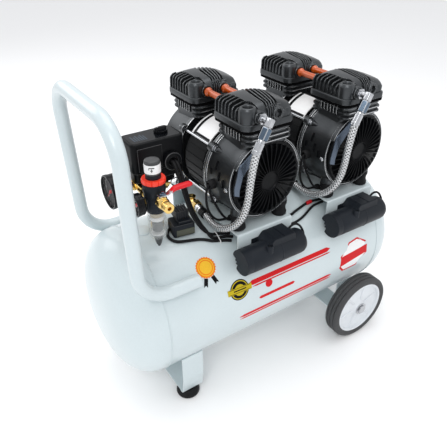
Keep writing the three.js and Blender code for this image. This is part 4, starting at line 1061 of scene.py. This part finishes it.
def gauge(name, node, r, back, face, y, z, stem, tip, needle):
    """A gauge that faces -X, with its dial and lens."""
    case = [(0, tip), (stem, tip), (stem, back - 1), (stem + 3, back - 1), (stem + 3, back), (r - 3, back),
            (r - 0.6, back - 2.4), (r - 0.6, face + 6.4), (r, face + 6), (r, face + 1), (r - 1,
                    face), (r - 2.8, face), (r - 3.4, face + 1), (r - 3.4, face + 8.6),
            (0, face + 8.6)]
    piece(f"{name}_case", [lathe(case, 64, "x", (0, y, z)),
                           bar("x", stem + 2, tip - 9, tip - 3, y, z, 6, cham=1)], "gloss", cad=node,
                           bevel=0.3)
    piece(f"{name}_dial", [bar("x", r - 3.5, face + 7.8, face + 8.7, y, z, 56)], "dial")
    ticks = []
    for k in range(31):
        a = radians(-135 + 9 * k)
        far, near = r - 5, r - (9.4 if k % 5 == 0 else 7.2)
        turn = Matrix.Rotation(a, 3, "X")
        w = 0.45 if k % 5 == 0 else 0.22
        ticks.append(moved(moved(box(face + 7.4, face + 7.85, -w, w, near, far), turn=turn), (0, y, z)))
    piece(f"{name}_scale", ticks, "label")
    arc = [(face + 7.6, *polar(r - 10.4, a + 90, y, z)) for a in range(60, 136, 5)]
    piece(f"{name}_red_arc", [sweep(arc, 0.6, 8)], "stripe", angle=80)
    lens = [(0, face + 1.4), (r * 0.5, face + 1.7), (r - 3.5, face + 2.6), (r - 3.5, face + 3.6),
            (0, face + 3)]
    piece(f"{name}_lens", [lathe(lens, 56, "x", (0, y, z))], "lens", angle=50)
    hub = [(0, face + 3.8), (2.4, face + 3.8), (3, face + 4.4), (3, face + 7), (0, face + 7)]
    hand = prism([(-0.9, -7), (0.9, -7), (0.25, r - 7.4), (-0.25, r - 7.4)], face + 5, face + 5.8, "x")
    hand = moved(moved(hand, turn=Matrix.Rotation(radians(-135), 3, "X")), (0, y, z))
    piece(f"{name}_pointer", [lathe(hub, 28, "x", (0, y, z)), hand], "red", needle, f"{node}_needle")


gauge("tank_dial", "tank_gauge", 31.5, -272, -297, 0, 468, 7, -258.4, "tank_needle")
gauge("outlet_dial", "regulator_gauge", 20, -266, -281, RY, 473, 5, -261.4, "regulator_needle")
stem = [bar("x", 6.4, -263.4, -258.5, RY, 473, 6, cham=0.8), bar("x", 4.8, -266, -258.5, RY, 473, 24)]
piece("outlet_dial_stem", stem, "brass", bevel=0.3)


# ---- Outlet valve, lever, unloader, safety valve and drain ---------------------------------

valve = [(0, -94.4), (8.4, -94.4), (8.4, -96), (10, -97), (10.6, -99), (10.6, -108), (9.6, -111.4),
         (8.4, -113.4), (0, -113.4)]
shapes = [lathe(valve, 40, "y", (RX, 0, 480)), bar("y", 11.6, -101, -95.6, RX, 480, 6, cham=1.4)]
outlet = [(3.4, -127.2), (8.2, -127.2), (9, -126.4), (9, -124.6), (8, -124), (9, -123.4), (9, -121.6),
          (8, -121), (9, -120.4), (9.2, -116), (8.4, -115), (8, -113), (3.4, -113)]
shapes += [lathe(outlet, 40, "y", (RX, 0, 480), ring=True), bar("z", 5.4, 480, 493.9, RX, -106.3, 24),
           bar("z", 7.2, 488, 491.6, RX, -106.3, 6, cham=0.8)]
piece("outlet_valve", shapes, "brass", cad="ball_valve", bevel=0.35)

PIVOT = (RX, -106.3)
blade = [(-8, 494.4), (9, 494.4), (20, 500.8), (50, 501.4), (50, 503.4), (19, 503), (8.4, 496.6), (-8, 496.6)]
steel = [prism([(PIVOT[0] + a, b) for a, b in blade], PIVOT[1] - 5, PIVOT[1] + 5, "y")]
nut = [bar("z", 5.6, 496.4, 500.4, *PIVOT, 6, cham=0.9), bar("z", 2.6, 499, 502.2, *PIVOT, 20, cham=0.4)]
piece("lever_blade", steel, "steel", "lever", bevel=0.4)
piece("lever_nut", nut, "zinc", "lever", bevel=0.3)
sleeve = []
for t, w, h, zz in ((13.6, 7, 3.6, 498), (15, 10, 5.6, 498.8), (18, 11.4, 6.4, 500.6), (22, 11.6, 7, 502),
                    (30, 11.8, 7.4, 502.4), (48, 11.8, 7.2, 502.4), (52.4, 10.2, 6, 502.4),
                    (53.8, 6.6, 3.4, 502.4)):
    sleeve.append([(PIVOT[0] + t, PIVOT[1] + yy, zz + z2) for yy, z2 in rrect(w, h, min(w, h) * 0.45, 5)])
piece("lever_sleeve", [loft(sleeve)], "red", "lever", "ball_valve_lever", angle=60)

UX, UY = -175.5, -36.0
tilt = Matrix.Rotation(radians(-9), 3, "Z")


def tilted(shapes):
    return [moved(shape, turn=tilt, about=(UX, UY, 0)) for shape in shapes]


block = [(362.4, 41, 36, 3), (363.2, 43, 38, 4), (385, 43, 38, 4), (387, 41, 36, 3)]
shapes = [tower(block, UX, UY, 4), box(UX - 9, UX + 16, UY - 14, UY + 16, 386, 392)]
for i in range(6):
    shapes.append(box(UX - 11.4 + 4.6 * i, UX - 8.6 + 4.6 * i, UY - 5.6, UY + 22.6, 391, 409 - 0.6 * (i % 2)))
shapes.append(box(UX - 10, UX + 13, UY - 4, UY + 21, 391, 406.6))
# The bevelled edges take the grey knob colour over the slate, a painted highlight.
piece("unloader_coil", tilted(shapes), "slate", cad="unloader_valve", bevel=0.5, edge="knob")
plate = [box(UX - 16, UX + 20, UY - 19.9, UY - 18.8, 365, 378)]
piece("unloader_plate", tilted(plate), "olive", bevel=0.2)

start, z = -192.4, 451
shapes = [bar("x", 9, start + 0.4, start + 4.4, 0, z, 6, cham=1),
          lathe([(0, start), (7, start), (7, start + 3.4), (8, start + 4), (8, start + 9.4),
                 (5.6, start + 10.4), (5.6, start + 13), (4.8, start + 13.8), (2.4, start + 14),
                 (2.4, start + 17.8), (0, start + 17.8)], 32, "x", (0, 0, z))]
piece("relief_valve", shapes, "brass", cad="safety_valve", bevel=0.3)
loop = [(x, 0, zz) for x, zz in (polar(8, 9 * k, -164.8, z) for k in range(40))]
piece("relief_ring", [sweep(loop, 1.2, 12, closed=True)], "steel", "safety_ring", "safety_valve_ring",
      angle=80)

wings = tower([(z, w, d, d / 2.2) for z, w, d in ((34.5, 26, 3), (36, 29.6, 4), (45, 28, 4.4),
                                                  (47.6, 16, 7))], DRAIN_X, 0, 4)
piece("drain_screw", [wings, bar("z", 8.8, 44.6, 53.2, DRAIN_X, 0, 6, cham=1),
                      bar("z", 5.2, 52, 64, DRAIN_X, 0, 24)], "brass",
      "drain_cock", "drain_cock", bevel=0.3)


# ---- Stickers ------------------------------------------------------------------------------

def sticker(name, mat, rim, centre, angle, lift=0.25):
    """A thin sticker bent round the tank, from a star-shaped outline about its own middle."""
    n, rings = len(rim), 5
    verts, faces = [tank_point(centre, 0, angle, lift)], []
    for i in range(1, rings + 1):
        verts += [tank_point(centre + x * i / rings, s * i / rings, angle, lift) for x, s in rim]
    verts += [tank_point(centre + x, s, angle, -0.4) for x, s in rim]
    verts.append(tank_point(centre, 0, angle, -3))
    last = len(verts) - 1
    for k in range(n):
        j = (k + 1) % n
        faces.append([0, 1 + k, 1 + j])
        for i in range(rings):
            faces.append([1 + i * n + k, 1 + i * n + j, 1 + (i + 1) * n + j, 1 + (i + 1) * n + k])
        faces.append([last, 1 + rings * n + k, 1 + rings * n + j])
    return piece(name, [(verts, faces)], mat, angle=30)


def strip(x0, x1, s0, s1, angle, lift=0.25, slant=0.0, round_end=0.0):
    """A strip along the tank, as a closed body."""
    rows, steps, cells = [], 24, 4
    for i in range(steps + 1):
        x = x0 + (x1 - x0) * i / steps
        shift = slant * (x - (x0 + x1) / 2)
        edge = min(x - x0, x1 - x)
        half = (s1 - s0) / 2
        if round_end and edge < round_end:
            half *= sqrt(max(0.02, 1 - (1 - edge / round_end) ** 2))
        mid = (s0 + s1) / 2 + shift
        rows.append([tank_point(x, mid - half + 2 * half * k / cells, angle, lift) for k in range(cells + 1)]
                    + [tank_point(x, mid + half - 2 * half * k / cells, angle, -0.4)
                       for k in range(cells + 1)])
    return loft(rows)


def blob(r, n=72, lobes=0, depth=0.0):
    """A disc's outline, with shallow scallops if it has lobes."""
    return [polar(r + depth * cos(lobes * TAU * k / n), 360 * k / n) for k in range(n)]


stripes = {"upper": [strip(-92, 124, -5, 5.2, 19.6, round_end=5),
                     strip(-84, 124, -10, -7, 19.6, round_end=2)],
           "lower": [strip(-117, 131, -0.4, 6, -7.6, round_end=3),
                     strip(-115, 131, -6.4, -2.8, -7.6, round_end=2)]}
for name, strips in stripes.items():
    piece(f"stripe_{name}", strips, "stripe", angle=60)
for name, mat, r, lift in (("black", "ink", 21.5, 0.25), ("yellow", "yellow", 19.4, 0.4),
                           ("ring", "ink", 17.4, 0.55), ("middle", "yellow", 11.6, 0.7)):
    sticker(f"seal_{name}", mat, blob(r), -114, 18.4, lift)
piece("seal_banner", [strip(-141, -86, -6, 6, 18.4, 0.85, slant=-0.04)], "yellow", angle=60)
lines = [strip(*line, 18.4, 1.0, slant=-0.04) for line in ((-138, -89, 4.2, 5), (-138, -89, -5, -4.2),
        (-128, -99, -1.2, 1.2))]
piece("seal_banner_lines", lines, "ink", angle=60)
for k, (dx, lean) in enumerate(((-7, -0.35), (7, 0.35))):
    tail = []
    for u, v in ((-4, 0), (4, 0), (4, -17), (0, -13.4), (-4, -17)):
        tail.append((u * cos(lean) - v * sin(lean), v * cos(lean) + u * sin(lean) + 8))
    sticker(f"rosette_ribbon_{k}", "ink", tail, -169 + dx, 33)
for name, mat, rim, lift in (("edge", "gold", blob(20, 144, 24, 0.8), 0.4),
                             ("face", "pale", blob(16.5), 0.55), ("rim", "gold", blob(14.6), 0.7),
                             ("centre", "pale", blob(12.6), 0.85)):
    sticker(f"rosette_{name}", mat, rim, -169, 43.3, lift)
hexagon = [(-42, -24), (-30, -38), (12, -38), (42, -10), (36, 22), (10, 38), (-16, 34), (-42, 6)]
sticker("badge_edge", "stripe", hexagon, 197, 4.6)
sticker("badge_face", "label", [(x * 0.9, s * 0.9) for x, s in hexagon], 197, 4.6, 0.4)
sticker("badge_band", "stripe", [(-40.5, -21), (41, -9), (40, 11), (-40.5, 5)], 197, 4.6, 0.55)
piece("plain_bar", [strip(-70, 22, -3.4, 3.4, 4.4, round_end=3.4)], "stripe", angle=60)
sticker("plain_disc", "stripe", blob(8.6), -44, 13.6)


# ---- Cables --------------------------------------------------------------------------------

def at_points(points, x):
    """Points of a route, shifted along X."""
    return [(a + x, b, c) for a, b, c in points]


def on_tank(*points):
    """Points above the tank's upper side, each given as (x, y, lift)."""
    return [(x, y, TANK_Z + sqrt((TANK_R + lift) ** 2 - y * y)) for x, y, lift in points]


for side, ux in UNITS.items():
    leads = [[(-82, -64, 463.2), (-91, -64, 461), (-95.5, -63.5, 453), (-96.5, -62.5, 438),
              (-95.5, -61.5, 422), (-91, -60.5, 404), (-83, -60, 389), (-74, -60, 379), (-65, -60, 374.6),
              (-55, -60.5, 373.4), (-44, -62, 373.3)],
             [(-82, -64, 458.6), (-89, -65, 455), (-90.5, -66, 446), (-87, -66.5, 433), (-80, -67, 418),
              (-72, -67.5, 402), (-63, -68.5, 387), (-54, -70, 377.4), (-44, -72, 373.6), (-34, -74, 373.3)]]
    for k, route in enumerate(leads):
        cable(f"motor_lead_{side}_{k + 1}", at_points(route, ux), 4.6)
        x, y, z = route[-1]
        piece(f"lead_gland_{side}_{k + 1}", [bar("z", 6.4, 370.9, 376.6, ux + x + 3, y, 28, cham=1.2)],
              "rubber")
    loop = [(36, -140, 350), (42, -140, 358.6), (48, -140.6, 364), (56, -141.4, 365.4), (65, -142.6, 361),
            (72.4, -144, 351), (77.4, -145, 339), (79.4, -145, 328), (78, -145, 320.6), (72, -145, 317.6)]
    cable(f"capacitor_lead_{side}", at_points(loop, ux), 4.6)

GLAND = [(-186.6, -33, 513), (-186.6, -42, 512.4), (-186.4, -49, 507), (-185.6, -54.4, 495),
         (-183.4, -58, 480), (-180, -60.5, 462), (-175.4, -62, 441), (-169.4, -62.8, 419),
         (-162.6, -63.6, 401), (-155, -64.5, 386), (-146, -65.4, 371.6), (-137, -67, 361.4),
         *on_tank((-127, -69, 3.3), (-117, -71, 3.2), (-105, -74, 3.2), (-92, -78, 3.2))]
cable("switch_cable", GLAND, 6)
SECOND = [(-180, -33, 512), (-180, -42, 511), (-179.4, -48, 506), (-178, -52.4, 495), (-175.6, -54.6, 479),
          (-172, -56, 459), (-167.4, -56.6, 438), (-161.4, -56.8, 417), (-154, -57.6, 398),
          (-146.4, -60.4, 381), (-139.4, -67.6, 367), *on_tank((-131.6, -75, 4.4), (-122.4, -77.4, 3.2),
                  (-112, -79.4, 3.2), (-100, -82, 3.2), (-90, -85.6, 3.2))]
cable("motor_cable", SECOND, 6)
RELIEF = [(-188, -28, 371.5), (-198, -29, 370.4), *on_tank((-204, -33, 3.4), (-207.4, -40, 3.2),
        (-207, -48, 3.2), (-202.4, -56, 3.2), (-194, -60.6, 3.2), (-183, -63.4, 3.2), (-171, -66, 3.2),
        (-158, -69, 3.2), (-146, -73.6, 3.2), (-134, -80, 3.2), (-121, -83.8, 3.2), (-109, -87, 3.2),
        (-97, -91, 3.2))]
cable("unloader_cable", RELIEF, 6)
strap = []
(x, y, z), = on_tank((-120, -77.4, 3.3))
lean = asin(77.4 / 156.3)
for k in range(36):
    a = TAU * k / 36
    u = 13 * abs(cos(a)) ** 0.6 * copysign(1, cos(a))
    v = 3.7 * abs(sin(a)) ** 0.7 * copysign(1, sin(a))
    strap.append((x, y - u * cos(lean) - v * sin(lean), z - u * sin(lean) + v * cos(lean)))
piece("cable_tie", [sweep(strap, 0.9, 8, closed=True)], "label", angle=80)

JOINED = on_tank((14, -94, 3), (28, -92, 3), (42, -89, 3), (58, -86, 3), (76, -82, 3), (92, -79, 3),
                 (106, -77, 3.6), (120, -76, 3.6), (134, -76.6, 3), (148, -78, 3))
cable("link_cable_1", JOINED, 5.4)
cable("link_cable_2", on_tank((14, -100, 3), (28, -100.4, 3), (42, -101, 3), (56, -101, 3), (69, -99.6, 3),
                              (82, -97, 3), (95, -93, 3), (108, -88.4, 3), (121, -85, 3), (134, -84, 3),
                              (148, -84, 3)), 5.4)
piece("cable_joint", [sweep(smooth_path(JOINED[6:8], 2), [3.4] + [4.2] * 20, 20)], "red", angle=60)

for name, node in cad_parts.items():
    if name.startswith(("rotor_", "piston_")):
        mat = M["shaft" if name.startswith("rotor_") else "piston"]
        if node.material_slots:
            for held in node.material_slots:
                held.material = mat
        else:
            node.data.materials.append(mat)


# ---- Studio --------------------------------------------------------------------------------

def studio():
    floor = bpy.data.meshes.new("floor")
    reach = 30
    floor.from_pydata([(-reach, -reach, 0), (reach, -reach, 0), (reach, reach, 0), (-reach, reach, 0)], [],
                      [(0, 1, 2, 3)])
    mat = bpy.data.materials.new("floor_paint")
    mat.use_nodes = True
    bsdf = mat.node_tree.nodes["Principled BSDF"]
    bsdf.inputs["Base Color"].default_value = (0.96, 0.96, 0.96, 1)
    bsdf.inputs["Roughness"].default_value = 0.9
    floor.materials.append(mat)
    obj = bpy.data.objects.new("floor", floor)
    obj.location.z = -0.0005
    bpy.context.collection.objects.link(obj)
    world = bpy.data.worlds.new("studio")
    world.use_nodes = True
    world.node_tree.nodes["Background"].inputs["Color"].default_value = (0.97, 0.98, 1, 1)
    world.node_tree.nodes["Background"].inputs["Strength"].default_value = 0.85
    bpy.context.scene.world = world
    for name, place, size, power in (("key", (-1.6, -1.7, 2.5), 1.4, 29), ("fill", (1.9, -1.7, 1.3), 1.6, 4),
                                     ("top", (0.2, 0.3, 2.6), 1.8, 22), ("back", (-0.9, 2.2, 1.7), 1.5, 12)):
        light = bpy.data.lights.new(name, "AREA")
        light.size = size
        light.energy = power
        lamp = bpy.data.objects.new(name, light)
        lamp.location = place
        lamp.rotation_euler = (Vector((0, 0, 0.35)) - Vector(place)).to_track_quat("-Z", "Y").to_euler()
        bpy.context.collection.objects.link(lamp)
    bpy.context.scene.view_settings.view_transform = "Standard"


studio()
